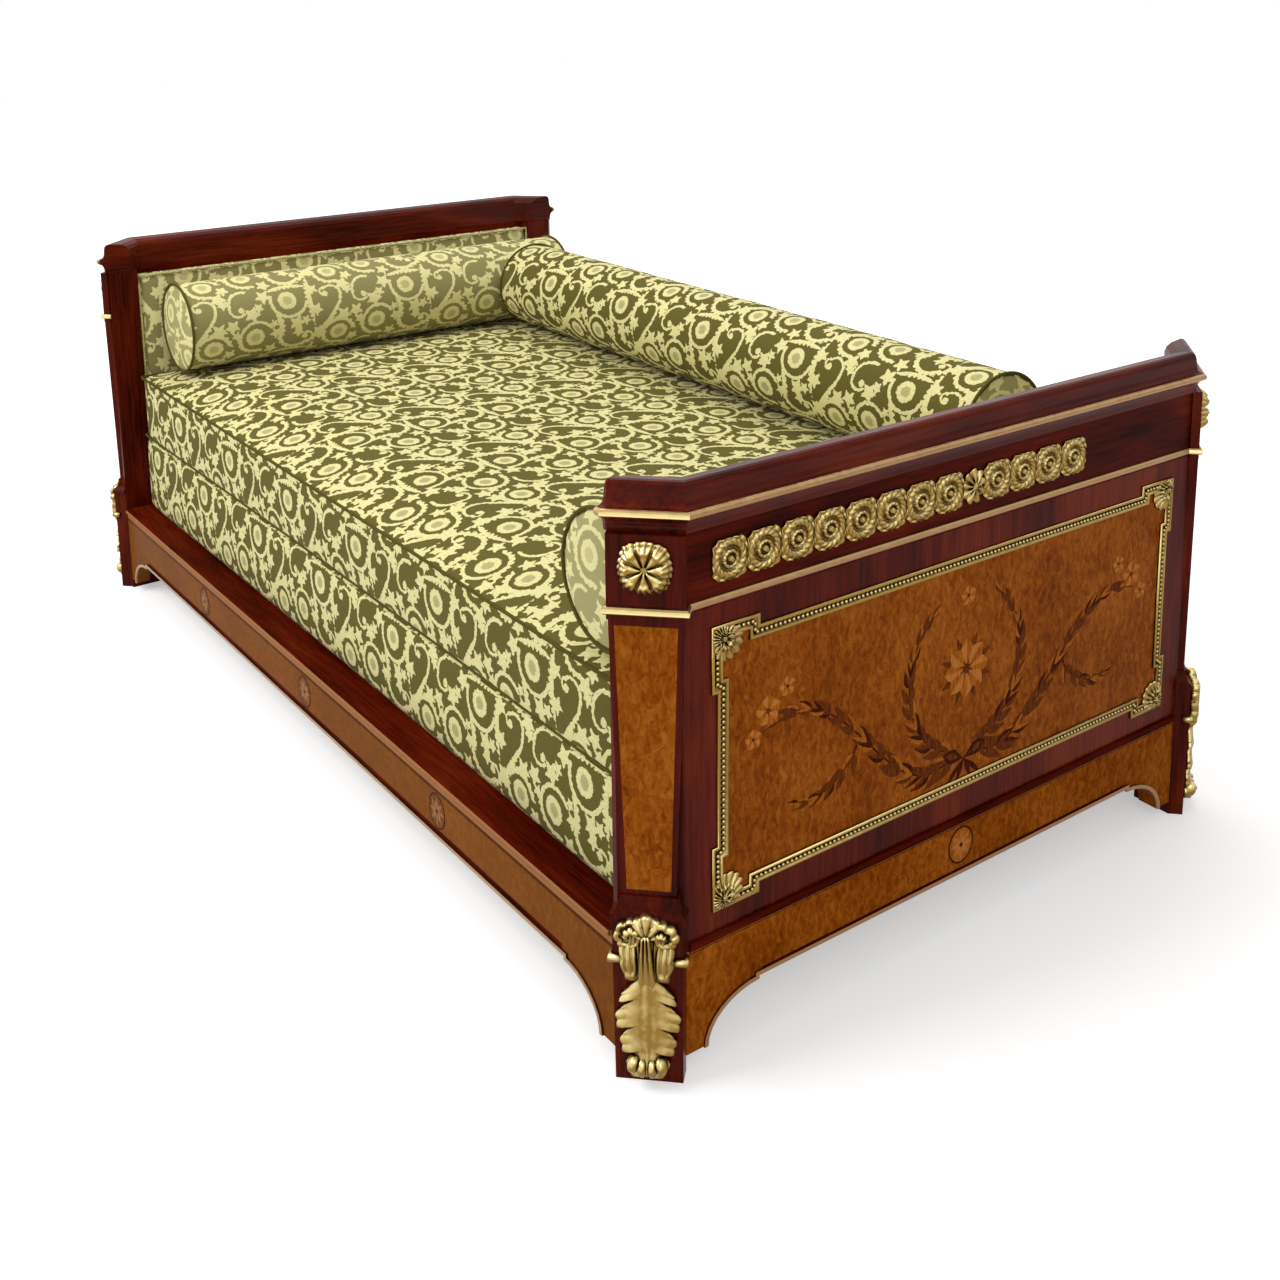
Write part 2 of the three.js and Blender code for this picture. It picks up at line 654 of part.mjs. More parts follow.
function frameOutline() {
  const middle = (FRAME_TOP + FRAME_BOTTOM) / 2;
  const half = (FRAME_TOP - FRAME_BOTTOM) / 2;
  const corner = [
    [FRAME_HALF_LENGTH - FRAME_STEP_SIDE, half - FRAME_EAR_HEIGHT],
    [FRAME_HALF_LENGTH, half - FRAME_EAR_HEIGHT],
    [FRAME_HALF_LENGTH, half],
    [FRAME_HALF_LENGTH - FRAME_EAR_LENGTH, half],
    [FRAME_HALF_LENGTH - FRAME_EAR_LENGTH, half - FRAME_STEP_TOP],
  ];
  const quarters = [
    corner,
    corner.map(([y, z]) => [-y, z]).reverse(),
    corner.map(([y, z]) => [-y, -z]),
    corner.map(([y, z]) => [y, -z]).reverse(),
  ];
  return quarters.flat().map(([y, z]) => [y, middle + z]);
}

function frameProfile() {
  const beadStart = FRAME_WIDTH * 0.3;
  const beadEnd = FRAME_WIDTH * 0.8;
  const middle = (beadStart + beadEnd) / 2;
  return [
    [0, 0],
    [0, FRAME_FILLET],
    [beadStart, FRAME_FILLET],
    [beadStart + FRAME_WIDTH * 0.06, FRAME_BEAD * 0.8],
    [middle, FRAME_BEAD],
    [beadEnd - FRAME_WIDTH * 0.06, FRAME_BEAD * 0.8],
    [beadEnd, FRAME_FILLET],
    [FRAME_WIDTH, FRAME_FILLET * 0.7],
    [FRAME_WIDTH, 0],
  ];
}

// A lobed leaf boss that fills the ear, with its tip towards the middle of the panel
function frameMount(signY, signZ) {
  const middle = (FRAME_TOP + FRAME_BOTTOM) / 2;
  const half = (FRAME_TOP - FRAME_BOTTOM) / 2;
  const centreY = FRAME_HALF_LENGTH - FRAME_WIDTH * 0.5 - FRAME_MOUNT_SIZE * 0.42;
  const centreZ = half - FRAME_WIDTH * 0.5 - FRAME_MOUNT_SIZE * 0.42;
  const rings = [];
  const spokes = 20;
  for (const [reachShare, riseShare] of [[1, 0], [1, 0.45], [0.62, 1], [0.25, 0.75]]) {
    const ring = [];
    for (let i = 0; i < spokes; i += 1) {
      const angle = (2 * Math.PI * i) / spokes;
      const lobe = 0.86 + 0.14 * Math.cos(5 * (angle - Math.PI / 4));
      const reach = FRAME_MOUNT_SIZE * 0.5 * reachShare * lobe;
      ring.push(new THREE.Vector3(
        END_FACE + FIT + FRAME_BEAD * 1.2 * riseShare,
        signY * (centreY + reach * Math.cos(angle)),
        middle + signZ * (centreZ + reach * Math.sin(angle)),
      ));
    }
    rings.push(ring);
  }
  return loft(rings);
}

function panelFrame() {
  const place = (y, z, rise) => new THREE.Vector3(END_FACE + FIT + rise, y, z);
  const ring = moulding(frameOutline(), frameProfile(), place, true);
  const mounts = [[1, 1], [-1, 1], [-1, -1], [1, -1]].map(([sy, sz]) => frameMount(sy, sz));
  return joined([ring, ...mounts]);
}

function burrPanel() {
  return slabAlongX(offsetPath(frameOutline(), FRAME_WIDTH / 2), END_FACE - PANEL_THICKNESS, END_FACE);
}

function panelBoard() {
  const board = block(
    BOARD_INNER_X, END_FACE, -BOARD_HALF_LENGTH, BOARD_HALF_LENGTH,
    APRON_TOP + FIT, FRIEZE_BOTTOM - FIT,
  );
  const recess = slabAlongX(
    offsetPath(frameOutline(), FRAME_WIDTH / 2 - FIT), END_FACE - PANEL_THICKNESS - FIT, END_FACE + OVERRUN,
  );
  return cut(board, [recess]);
}

// Frieze mount: a running band of volutes each side of a palmette, cast in one piece

// One volute as a ridged band that winds out from its eye and closes on itself against its neighbours.
function volute(side, index) {
  const centre = side * (PALMETTE_HALF_WIDTH + SCROLL_PITCH * (index + 0.5));
  const steps = 18;
  const turns = 1.85;
  const lastAngle = -0.6 * Math.PI;
  const flip = index % 2 === 0 ? 1 : -1;
  const onBoard = (reach, angle, rise) => new THREE.Vector3(
    END_FACE + FIT + rise,
    centre + side * reach * Math.cos(angle),
    SCROLL_HEIGHT + flip * reach * Math.sin(angle),
  );
  const band = [];
  for (let i = 0; i <= steps; i += 1) {
    const share = i / steps;
    const reach = SCROLL_EYE + (SCROLL_RADIUS - SCROLL_EYE) * Math.min(1, share * 1.8);
    const angle = lastAngle + 2 * Math.PI * turns * (1 - share);
    const half = SCROLL_BAND * (0.4 + 0.2 * share);
    band.push([[-half, 0], [half, 0], [0, SCROLL_DEPTH]].map(([d, rise]) => onBoard(reach + d, angle, rise)));
  }
  const eye = [[1.6, 0], [1.3, 1]].map(([reachShare, riseShare]) => {
    const angles = [0, 1, 2, 3, 4, 5, 6].map((step) => (2 * Math.PI * step) / 7);
    return angles.map((angle) => onBoard(SCROLL_EYE * reachShare, angle, SCROLL_DEPTH * riseShare));
  });
  return [loft(band), loft(eye)];
}

function palmette() {
  const rings = [];
  const spokes = 28;
  for (const [reachShare, riseShare] of [[1, 0], [1, 0.5], [0.55, 1], [0.2, 1.3]]) {
    const ring = [];
    for (let i = 0; i < spokes; i += 1) {
      const angle = (2 * Math.PI * i) / spokes;
      const lobe = 0.85 + 0.15 * Math.cos(7 * (angle - Math.PI / 2));
      ring.push(new THREE.Vector3(
        END_FACE + FIT + SCROLL_DEPTH * riseShare,
        PALMETTE_HALF_WIDTH * 1.25 * reachShare * lobe * Math.cos(angle),
        SCROLL_HEIGHT + PALMETTE_HALF_HEIGHT * reachShare * lobe * Math.sin(angle),
      ));
    }
    rings.push(ring);
  }
  return loft(rings);
}

function friezeMount(frontCount, backCount) {
  const pieces = [palmette()];
  for (const [side, count] of [[-1, frontCount], [1, backCount]]) {
    for (let i = 0; i < count; i += 1) {
      pieces.push(...volute(side, i));
    }
  }
  return joined(pieces);
}

// Rosette: a boss in a ring of lobed petals, on the block at the top of a post

function rosette() {
  const spokes = ROSETTE_PETALS * 4;
  const rings = [];
  const steps = [[1, 0, 1], [1, 0.3, 1], [0.78, 0.75, 0.8], [0.5, 0.45, 0.5], [0.34, 0.5, 0], [0.22, 1, 0]];
  for (const [reachShare, riseShare, lobeShare] of steps) {
    const ring = [];
    for (let i = 0; i < spokes; i += 1) {
      const angle = (2 * Math.PI * i) / spokes;
      const lobe = 1 - 0.16 * lobeShare * (0.5 - 0.5 * Math.cos(ROSETTE_PETALS * angle));
      const reach = ROSETTE_RADIUS * reachShare * lobe;
      const rise = SHAFT_SETBACK - FIT - ROSETTE_DEPTH * riseShare;
      ring.push(cornerPoint(rise, reach * Math.cos(angle), ROSETTE_HEIGHT + reach * Math.sin(angle)));
    }
    rings.push(ring);
  }
  return loft(rings);
}

// Leaf mount: an acanthus leaf that swells from its tip and curls over at the top

// Share of the leaf's height against share of its half width, from the tip up to the scrolled head
const LEAF_OUTLINE_SHARES = [
  [0, 0.3], [0.06, 0.56], [0.15, 0.68], [0.3, 0.86], [0.33, 0.84], [0.37, 1], [0.45, 0.97],
  [0.56, 0.8], [0.61, 0.54], [0.69, 0.7], [0.82, 0.86], [0.9, 0.83], [0.95, 0.66], [1, 0.3],
];

function leafHalfWidth(share) {
  const above = Math.max(1, LEAF_OUTLINE_SHARES.findIndex(([height]) => height >= share));
  const [lowHeight, lowWidth] = LEAF_OUTLINE_SHARES[above - 1];
  const [topHeight, topWidth] = LEAF_OUTLINE_SHARES[above];
  const along = (share - lowHeight) / (topHeight - lowHeight);
  return (LEAF_WIDTH / 2) * (lowWidth + (topWidth - lowWidth) * along);
}

function leafRise(share, across) {
  const swell = 0.36 + 0.3 * Math.sin(Math.PI * Math.min(1, share * 1.5)) ** 2;
  const scroll = 0.64 * Math.exp(-(((share - 0.86) / 0.1) ** 2));
  const tip = 0.3 * Math.exp(-((share / 0.07) ** 2));
  const dome = Math.sqrt(1 - across ** 2 * 0.96);
  const ribs = 1 - 0.16 * Math.abs(Math.sin(Math.PI * across * 2));
  return LEAF_BACKING + (LEAF_DEPTH - LEAF_BACKING) * (swell + scroll + tip) * dome * ribs;
}

function leafBack(z) {
  const clearOfNecking = PEDESTAL_TOP - OVERRUN;
  return z < clearOfNecking ? PEDESTAL_SETBACK - FIT : NECKING_SETBACK - FIT;
}

function leafMount() {
  const rows = 22;
  const columns = 8;
  const rings = [];
  for (let r = 0; r <= rows; r += 1) {
    const share = r / rows;
    const z = LEAF_BOTTOM + (LEAF_TOP - LEAF_BOTTOM) * share;
    const half = leafHalfWidth(share);
    const back = leafBack(z);
    const ring = [cornerPoint(back, -half, z), cornerPoint(back, half, z)];
    for (let c = columns; c >= 0; c -= 1) {
      const across = (2 * c) / columns - 1;
      ring.push(cornerPoint(back - leafRise(share, across), half * across, z));
    }
    rings.push(ring);
  }
  const width = (FOOT_WIDTH + (PEDESTAL_WIDTH - FOOT_WIDTH) * (PLINTH_BEAD_HEIGHT / PEDESTAL_TOP)) + FIT;
  const outline = caseOutline(width, PEDESTAL_SETBACK);
  const reach = outline.slice(0, 4);
  reach[0] = pointBetween(outline[1], outline[0], PLINTH_BEAD_RADIUS * 2);
  reach[3] = pointBetween(outline[2], outline[3], PLINTH_BEAD_RADIUS * 2);
  const bead = moulding(
    reach.reverse(),
    halfRound(PLINTH_BEAD_RADIUS, 6, 0),
    (x, y, rise) => inPlan(x, y, PLINTH_BEAD_HEIGHT + rise),
  );
  return joined([loft(rings), bead]);
}

function pointBetween(from, to, distance) {
  const length = Math.hypot(to[0] - from[0], to[1] - from[1]);
  return [from[0] + ((to[0] - from[0]) * distance) / length, from[1] + ((to[1] - from[1]) * distance) / length];
}

// Upholstery

// Rise of a crowned top above its edge, at a share of the half length and the half width.
function crownAt(u, v) {
  return (1 - Math.abs(u) ** 8) * (1 - Math.abs(v) ** 8);
}

// A box cushion: crowned faces, sides drawn in between the corners and rounded corners in plan.
function boxCushion(halfLength, halfWidth, bottom, height, form, counts) {
  const geometry = new THREE.BoxGeometry(2 * halfLength, 2 * halfWidth, height, ...counts);
  const place = geometry.getAttribute('position');
  for (let i = 0; i < place.count; i += 1) {
    const u = place.getX(i) / halfLength;
    const v = place.getY(i) / halfWidth;
    const w = place.getZ(i) / (height / 2);
    const bulge = 1 - w * w;
    const drawX = form.draw * (1 - v * v) * (1 - 0.7 * bulge) + (form.corner * Math.abs(v) ** 24) / 2;
    const drawY = form.draw * (1 - u * u) * (1 - 0.7 * bulge) + (form.corner * Math.abs(u) ** 24) / 2;
    const x = u * (halfLength - drawX * Math.abs(u));
    const y = v * (halfWidth - drawY * Math.abs(v));
    const sag = form.sag * (1 - u * u);
    const lift = w > 0 ? w * (form.crown * crownAt(u, v) - sag) : 0;
    place.setXYZ(i, x, y, bottom + height * (0.5 + 0.5 * w) + lift);
  }
  return geometry;
}

// Height of the mattress top between the grid lines of its mesh.
function mattressTopAt(x, y) {
  const [stepsX, stepsY] = MATTRESS_STEPS;
  const column = ((x / UPHOLSTERY_HALF_LENGTH + 1) / 2) * stepsX;
  const row = ((y / UPHOLSTERY_HALF_WIDTH + 1) / 2) * stepsY;
  const [i, j] = [Math.floor(column), Math.floor(row)];
  const lift = (c, r) => {
    const [u, v] = [(2 * c) / stepsX - 1, (2 * r) / stepsY - 1];
    return MATTRESS_CROWN * crownAt(u, v) - MATTRESS_SAG * (1 - u * u);
  };
  const near = THREE.MathUtils.lerp(lift(i, j), lift(i + 1, j), column - i);
  const far = THREE.MathUtils.lerp(lift(i, j + 1), lift(i + 1, j + 1), column - i);
  return MATTRESS_TOP + THREE.MathUtils.lerp(near, far, row - j);
}

// A round bolster lying on the mattress, its ends turned in to a shallow dome.
function bolster(length) {
  const half = length / 2;
  const r = BOLSTER_RADIUS;
  const profile = [
    [0, -half],
    [r * 0.55, -half + BOLSTER_DOME * 0.35],
    [r - BOLSTER_ROUNDING, -half + BOLSTER_DOME],
    [r - BOLSTER_ROUNDING * 0.25, -half + BOLSTER_DOME + BOLSTER_ROUNDING * 0.35],
    [r, -half + BOLSTER_DOME + BOLSTER_ROUNDING],
    [r, 0],
  ];
  const far = profile.slice(0, -1).map(([a, b]) => [a, -b]).reverse();
  return new THREE.LatheGeometry([...profile, ...far].map(([a, b]) => new THREE.Vector2(a, b)), BOLSTER_FACETS);
}

// Depth of a bolster's faceted underside below its axis, at a distance across it.
function undersideAt(distance) {
  const facet = (2 * Math.PI) / BOLSTER_FACETS;
  const first = Math.floor(Math.asin(distance / BOLSTER_RADIUS) / facet) * facet;
  const start = BOLSTER_RADIUS * Math.sin(first);
  const share = (distance - start) / (BOLSTER_RADIUS * Math.sin(first + facet) - start);
  return BOLSTER_RADIUS * THREE.MathUtils.lerp(Math.cos(first), Math.cos(first + facet), share);
}

// Height of a bolster's middle so that it just rests on the crown along its whole run.
function restingHeight(placeAt) {
  let height = 0;
  for (let i = 0; i <= 40; i += 1) {
    for (let j = -12; j <= 12; j += 1) {
      const d = (j / 40) * BOLSTER_RADIUS;
      const [x, y] = placeAt(i / 40, d);
      height = Math.max(height, mattressTopAt(x, y) + undersideAt(Math.abs(d)));
    }
  }
  return height + FIT;
}

function crossBolster(x, front, back) {
  const middle = restingHeight((share, d) => [x + d, front + (back - front) * share]);
  return bolster(back - front).translate(x, (front + back) / 2, middle);
}

function longBolster(y, head, foot) {
  const middle = restingHeight((share, d) => [head + (foot - head) * share, y + d]);
  return bolster(foot - head).rotateZ(-Math.PI / 2).translate((head + foot) / 2, y, middle);
}

function innerPad() {
  const back = BOARD_INNER_X - FIT;
  const half = BOARD_HALF_LENGTH - FIT;
  const bottom = LEDGE_TOP;
  const geometry = new THREE.BoxGeometry(PAD_THICKNESS, 2 * half, PAD_TOP - bottom, 2, 10, 6);
  const place = geometry.getAttribute('position');
  for (let i = 0; i < place.count; i += 1) {
    const depth = 0.5 - place.getX(i) / PAD_THICKNESS;
    const v = place.getY(i) / half;
    const w = place.getZ(i) / ((PAD_TOP - bottom) / 2);
    const crown = PAD_CROWN * (1 - Math.abs(v) ** 8) * (1 - Math.abs(w) ** 8);
    const edge = Math.max(Math.abs(v), Math.abs(w));
    const rounding = PAD_CROWN * depth * edge ** 30;
    const x = back - depth * (PAD_THICKNESS - PAD_CROWN + crown);
    place.setXYZ(i, x, v * (half - rounding), (PAD_TOP + bottom) / 2 + w * ((PAD_TOP - bottom) / 2 - rounding));
  }
  return geometry;
}

// Assembly

const postShape = post();
const slipShape = loft(slipRings(SLIP_THICKNESS, 0));
const rosetteShape = rosette();
const leafShape = leafMount();
const boltShape = bedBolt();
const ends = [['foot', 1], ['head', -1]];
const sides = [['front', -1], ['back', 1]];

for (const [end, endSign] of ends) {
  const endPieces = [
    ['cap_rail', capRail(), MAHOGANY],
    ['cap_bead', capBead(), BRONZE],
    ['frieze_rail', friezeRail(), MAHOGANY],
    ['frieze_bead', friezeBead(), BRONZE],
    ['frieze_mount', end === 'foot' ? friezeMount(SCROLL_COUNT, FOOT_BACK_SCROLL_COUNT)
      : friezeMount(SCROLL_COUNT, SCROLL_COUNT), BRONZE],
    ['panel_board', panelBoard(), MAHOGANY],
    ['burr_panel', burrPanel(), BURR],
    ['panel_frame', panelFrame(), BRONZE],
    ['apron', apron(), BURR],
    ['apron_trim', apronTrim(), BRONZE],
    ['inner_pad', innerPad(), DAMASK],
  ];
  for (const [piece, geometry, finish] of endPieces) {
    addPiece(`${end}_${piece}`, mirrored(geometry, endSign, 1), finish);
  }
  for (const [side, sideSign] of sides) {
    const corner = `${end}_${side}`;
    addPiece(`${corner}_post`, mirrored(postShape, endSign, sideSign), MAHOGANY);
    addPiece(`${corner}_burr_slip`, mirrored(slipShape, endSign, sideSign), BURR);
    addPiece(`${corner}_rosette`, mirrored(rosetteShape, endSign, sideSign), BRONZE);
    addPiece(`${corner}_leaf_mount`, mirrored(leafShape, endSign, sideSign), BRONZE);
    addPiece(`${corner}_bed_bolt`, mirrored(boltShape, endSign, sideSign), STEEL);
  }
}

for (const [side, sideSign] of sides) {
  addPiece(`${side}_rail`, mirrored(sideRail(), 1, sideSign), MAHOGANY);
  addPiece(`${side}_rail_trim`, mirrored(railTrim(), 1, sideSign), BRONZE);
  const bearerTop = LEDGE_TOP - SLAT_THICKNESS - FIT;
  const bearer = block(
    -RAIL_HALF_LENGTH, RAIL_HALF_LENGTH,
    RAIL_INNER_Y - FIT - LEDGE_WIDTH - BEARER_WIDTH + RAIL_THICKNESS, RAIL_INNER_Y - FIT,
    bearerTop - BEARER_HEIGHT, bearerTop,
  );
  addPiece(`${side}_slat_bearer`, mirrored(bearer, 1, sideSign), BEECH);
}

const slatSpan = 2 * (POST_INNER_X - SLAT_WIDTH);
const slatHalf = SIDE_FACE - LEDGE_WIDTH - FIT;
for (let i = 0; i < SLAT_COUNT; i += 1) {
  const x = -slatSpan / 2 + (slatSpan * i) / (SLAT_COUNT - 1);
  const slat = block(
    x - SLAT_WIDTH / 2, x + SLAT_WIDTH / 2, -slatHalf, slatHalf, LEDGE_TOP - SLAT_THICKNESS, LEDGE_TOP,
  );
  addPiece(`slat_${i + 1}`, slat, BEECH);
}

const baseForm = { crown: 0, sag: 0, draw: BASE_DRAW, corner: BASE_CORNER };
const mattressForm = { crown: MATTRESS_CROWN, sag: MATTRESS_SAG, draw: MATTRESS_DRAW, corner: MATTRESS_CORNER };
addPiece('box_base', boxCushion(
  UPHOLSTERY_HALF_LENGTH, UPHOLSTERY_HALF_WIDTH, BASE_BOTTOM, BASE_HEIGHT, baseForm, [8, 6, 2],
), DAMASK);
addPiece('mattress', boxCushion(
  UPHOLSTERY_HALF_LENGTH, UPHOLSTERY_HALF_WIDTH, MATTRESS_BOTTOM, MATTRESS_HEIGHT, mattressForm, MATTRESS_STEPS,
), DAMASK);

const crossLine = POST_INNER_X - PAD_CROWN - BOLSTER_GAP - BOLSTER_RADIUS;
const bolsterSpan = crossLine - BOLSTER_RADIUS - BOLSTER_GAP;
addPiece('head_bolster', crossBolster(-crossLine, -HEAD_BOLSTER_FRONT, BOLSTER_REACH), DAMASK);
addPiece('foot_bolster', crossBolster(crossLine, -BOLSTER_REACH, BOLSTER_REACH), DAMASK);
addPiece('back_bolster', longBolster(BACK_BOLSTER_LINE, -bolsterSpan, bolsterSpan), DAMASK);

export default bed;
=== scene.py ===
# The looks of a Louis XVI style daybed: polished mahogany, burr veneer, gilt bronze mounts and green damask.
# Metres. +X runs to the foot end, +Y to the back, +Z up, as in the solids.
import math

import bmesh
import bpy
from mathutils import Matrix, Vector, noise


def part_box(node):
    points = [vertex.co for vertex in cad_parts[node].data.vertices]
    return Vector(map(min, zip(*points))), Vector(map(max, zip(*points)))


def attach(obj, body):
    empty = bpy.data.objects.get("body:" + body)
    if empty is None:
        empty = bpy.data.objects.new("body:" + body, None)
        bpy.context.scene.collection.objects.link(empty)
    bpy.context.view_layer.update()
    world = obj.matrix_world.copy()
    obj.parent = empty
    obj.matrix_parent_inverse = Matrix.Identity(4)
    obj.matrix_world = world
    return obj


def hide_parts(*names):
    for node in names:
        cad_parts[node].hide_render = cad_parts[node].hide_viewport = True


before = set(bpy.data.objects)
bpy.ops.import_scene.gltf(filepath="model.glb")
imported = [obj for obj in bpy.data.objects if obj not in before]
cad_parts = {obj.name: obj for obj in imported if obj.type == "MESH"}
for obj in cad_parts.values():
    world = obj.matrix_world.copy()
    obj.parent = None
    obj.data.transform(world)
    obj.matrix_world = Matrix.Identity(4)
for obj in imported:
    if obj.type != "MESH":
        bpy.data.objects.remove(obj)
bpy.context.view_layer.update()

bl_info = {
    "name": "Louis XVI Style Daybed",
    "version": (1, 0, 0),
    "blender": (4, 5, 0),
    "location": "3D View > Sidebar > Daybed",
    "description": "Dresses the solids of a mahogany daybed with mounts, veneers and upholstery",
    "category": "Object",
}

ENDS = (("foot", 1), ("head", -1))
SIDES = (("front", -1), ("back", 1))
# places on the case, in metres
END_FACE = 1.030
SIDE_FACE = 0.555
CANT = 0.0187
ROSETTE_MIDDLE = 0.680
FRIEZE_MIDDLE = 0.672
SCROLL_PITCH = 0.054
PALMETTE_HALF = 0.020
PANEL_MIDDLE = 0.3975
FRAME_HALF_WIDTH, FRAME_HALF_HEIGHT = 0.453, 0.1915
APRON_INLAY, RAIL_INLAY = 0.130, 0.1285
RAIL_INLAY_PITCH = 0.488
# reliefs start this far behind the face that they lie on
ROOT = 0.0002
# the plates of the rosettes lie this far behind the cut corners of the posts
ROSETTE_SINK = 0.011
TURN = 2 * math.pi


def linear(code):
    """An sRGB hex colour as linear numbers."""
    parts = [int(code[i:i + 2], 16) / 255 for i in (1, 3, 5)]
    return tuple(p / 12.92 if p <= 0.04045 else ((p + 0.055) / 1.055) ** 2.4 for p in parts)


def colour_property(name, about, code):
    return bpy.props.FloatVectorProperty(
        name=name, description=about, subtype="COLOR", size=3, min=0, max=1, default=linear(code))


def length_property(name, about, metres):
    return bpy.props.FloatProperty(name=name, description=about, unit="LENGTH", default=metres, min=0)


def power_property(name, about, watts):
    return bpy.props.FloatProperty(name=name, description=about, unit="POWER", default=watts, min=0)


class DaybedWood(bpy.types.PropertyGroup):
    """Colours and grain of the woods."""
    mahogany_dark: colour_property("Mahogany pores", "Dark lines of the polished mahogany", "#240501")
    mahogany: colour_property("Mahogany", "Body of the polished mahogany", "#4f1104")
    mahogany_light: colour_property("Mahogany figure", "Light figure of the mahogany", "#6e260c")
    # painted highlight: the light line along the rail mouldings; the same tan also lays the leaves of the
    # rails' paterae
    pale_tan_and_highlight: colour_property("Rubbed edge", "Light line where the polish is rubbed through", "#9e6c46")
    # painted shade: the duller brown that darkens the rails' burr; it also tones the rails' paterae
    dull_brown: colour_property("Faded veneer", "Duller brown of the side rails", "#734a20")
    burr_dark: colour_property("Burr eyes", "Dark eyes and knots of the burr", "#5e2803")
    burr: colour_property("Burr", "Body of the burr veneer", "#844006")
    burr_light: colour_property("Burr lights", "Light swirls of the burr veneer", "#a9611c")
    inlay_light: colour_property("Blossom inlay", "Pale wood of the blossoms", "#b9743a")
    inlay_middle: colour_property("Leaf inlay", "Brown wood of the lighter leaves", "#6b3510")
    inlay_dark: colour_property("Stem inlay", "Stained wood of stems and dark leaves", "#4c1c0a")
    grain: length_property("Grain width", "Distance between the lines of the mahogany's grain", 0.006)
    burr_eye: length_property("Burr eye spacing", "Distance between the eyes of the burr", 0.009)


class DaybedMetal(bpy.types.PropertyGroup):
    """Colours of the gilt bronze."""
    # bright is a painted highlight, laid on the gilding's upward and front faces and mixed with wear
    bright: colour_property("Rubbed gilding", "Gilding rubbed bright on the upper sides", "#e0cd8c")
    gilt: colour_property("Gilding", "Body of the gilding", "#8b6d34")
    # worn darkens the hollows: old varnish, and painted shade
    worn: colour_property("Old varnish", "Brown varnish left in the hollows", "#2f1f08")
    # painted shade: bead is a browner, darker copy of the gilding for the beads of the dimly lit long sides
    bead: colour_property("Lacquered beads", "Brownish lacquer on the long beads", "#97704e")


class DaybedCloth(bpy.types.PropertyGroup):
    """Colours and sizes of the upholstery."""
    ground: colour_property("Ground", "Green ground of the damask", "#675f2a")
    ground_deep: colour_property("Ground shade", "Deeper threads of the ground", "#554e20")
    figure: colour_property("Figure", "Pale gold figure of the damask", "#e3da9c")
    cord: colour_property("Seam cord", "Olive cord in the seams", "#474012")
    repeat_width: length_property("Repeat width", "Width of one repeat of the pattern", 0.285)
    repeat_height: length_property("Repeat height", "Height of one repeat of the pattern", 0.162)
    piping: length_property("Piping radius", "Radius of the cord at the seams", 0.0027)


class DaybedStage(bpy.types.PropertyGroup):
    """Strength of the lights."""
    key: power_property("Key light", "Power of the lamp in front", 105)
    fill: power_property("Fill light", "Power of the lamp at the foot end", 30)
    top: power_property("Top light", "Power of the lamp overhead", 68)
    sky: bpy.props.FloatProperty(name="Sky", description="Strength of the even light", default=0.42, min=0)


# Meshes

def add_object(name, bm):
    """Makes an object of a bmesh, with its faces turned out."""
    bmesh.ops.recalc_face_normals(bm, faces=bm.faces)
    mesh = bpy.data.meshes.new(name)
    bm.to_mesh(mesh)
    bm.free()
    obj = bpy.data.objects.new(name, mesh)
    bpy.context.scene.collection.objects.link(obj)
    return obj


def finish_mesh(name, bm, material, body, smooth=True):
    """Makes an object of a bmesh, gives it a material and lets it ride on a body."""
    bmesh.ops.remove_doubles(bm, verts=bm.verts, dist=1e-6)
    obj = add_object(name, bm)
    for face in obj.data.polygons:
        face.use_smooth = smooth
    obj.data.materials.append(material)
    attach(obj, body)
    return obj


def loft(bm, rings, closed=False):
    """Joins rings of points with equal counts, and closes the ends of an open run."""
    rows = [[bm.verts.new(p) for p in ring] for ring in rings]
    count = len(rows[0])
    pairs = list(zip(rows, rows[1:])) + ([(rows[-1], rows[0])] if closed else [])
    for low, high in pairs:
        for i in range(count):
            j = (i + 1) % count
            bm.faces.new((low[i], low[j], high[j], high[i]))
    if not closed:
        bm.faces.new(rows[0])
        bm.faces.new(rows[-1])


def on_corner(end, side):
    """Turns (across, up, out) on the cut face of a post into a point of the bed."""
    def place(across, up, out):
        inward = (CANT - out) / math.sqrt(2)
        sideways = across / math.sqrt(2)
        return Vector((end * (END_FACE - inward - sideways), side * (SIDE_FACE - inward + sideways), up))
    return place


def on_end(end):
    """Turns (across, up, out) on an end board into a point of the bed."""
    def place(across, up, out):
        return Vector((end * (END_FACE + 0.0003 + out), across, up))
    return place


def round_relief(bm, place, centre, reach, rise, around=64, rows=16):
    """A relief built round a centre: reach(angle) gives its outline and rise(share, angle) its height."""
    angles = [TURN * i / around for i in range(around)]

    def ring(share, lifted):
        return [place(
            centre[0] + reach(a) * share * math.cos(a), centre[1] + reach(a) * share * math.sin(a),
            rise(share, a) if lifted else ROOT) for a in angles]
    shares = [1 - i / rows for i in range(rows)] + [0.02]
    loft(bm, [ring(1, False)] + [ring(share, True) for share in shares])


def blade_relief(bm, place, spot, rise, rows=40, columns=16):
    """A relief along a rib: spot(along, side) gives its place and rise(along, side) its height."""
    sides = [2 * i / columns - 1 for i in range(columns + 1)]
    rings = []
    for i in range(rows + 1):
        t = i / rows
        ring = [place(*spot(t, s), rise(t, s)) for s in sides]
        rings.append(ring + [place(*spot(t, s), ROOT) for s in (1, 0, -1)])
    loft(bm, rings)


def fluted(angle, count, sharp=1.0):
    """A row of rounded flutes, 0 in the grooves and 1 on the crests."""
    return abs(math.cos(count * angle / 2)) ** sharp


def smooth_step(value, low, high):
    """0 below low and 1 above high, with a soft rise between."""
    t = max(0.0, min(1.0, (value - low) / (high - low)))
    return t * t * (3 - 2 * t)


# Materials

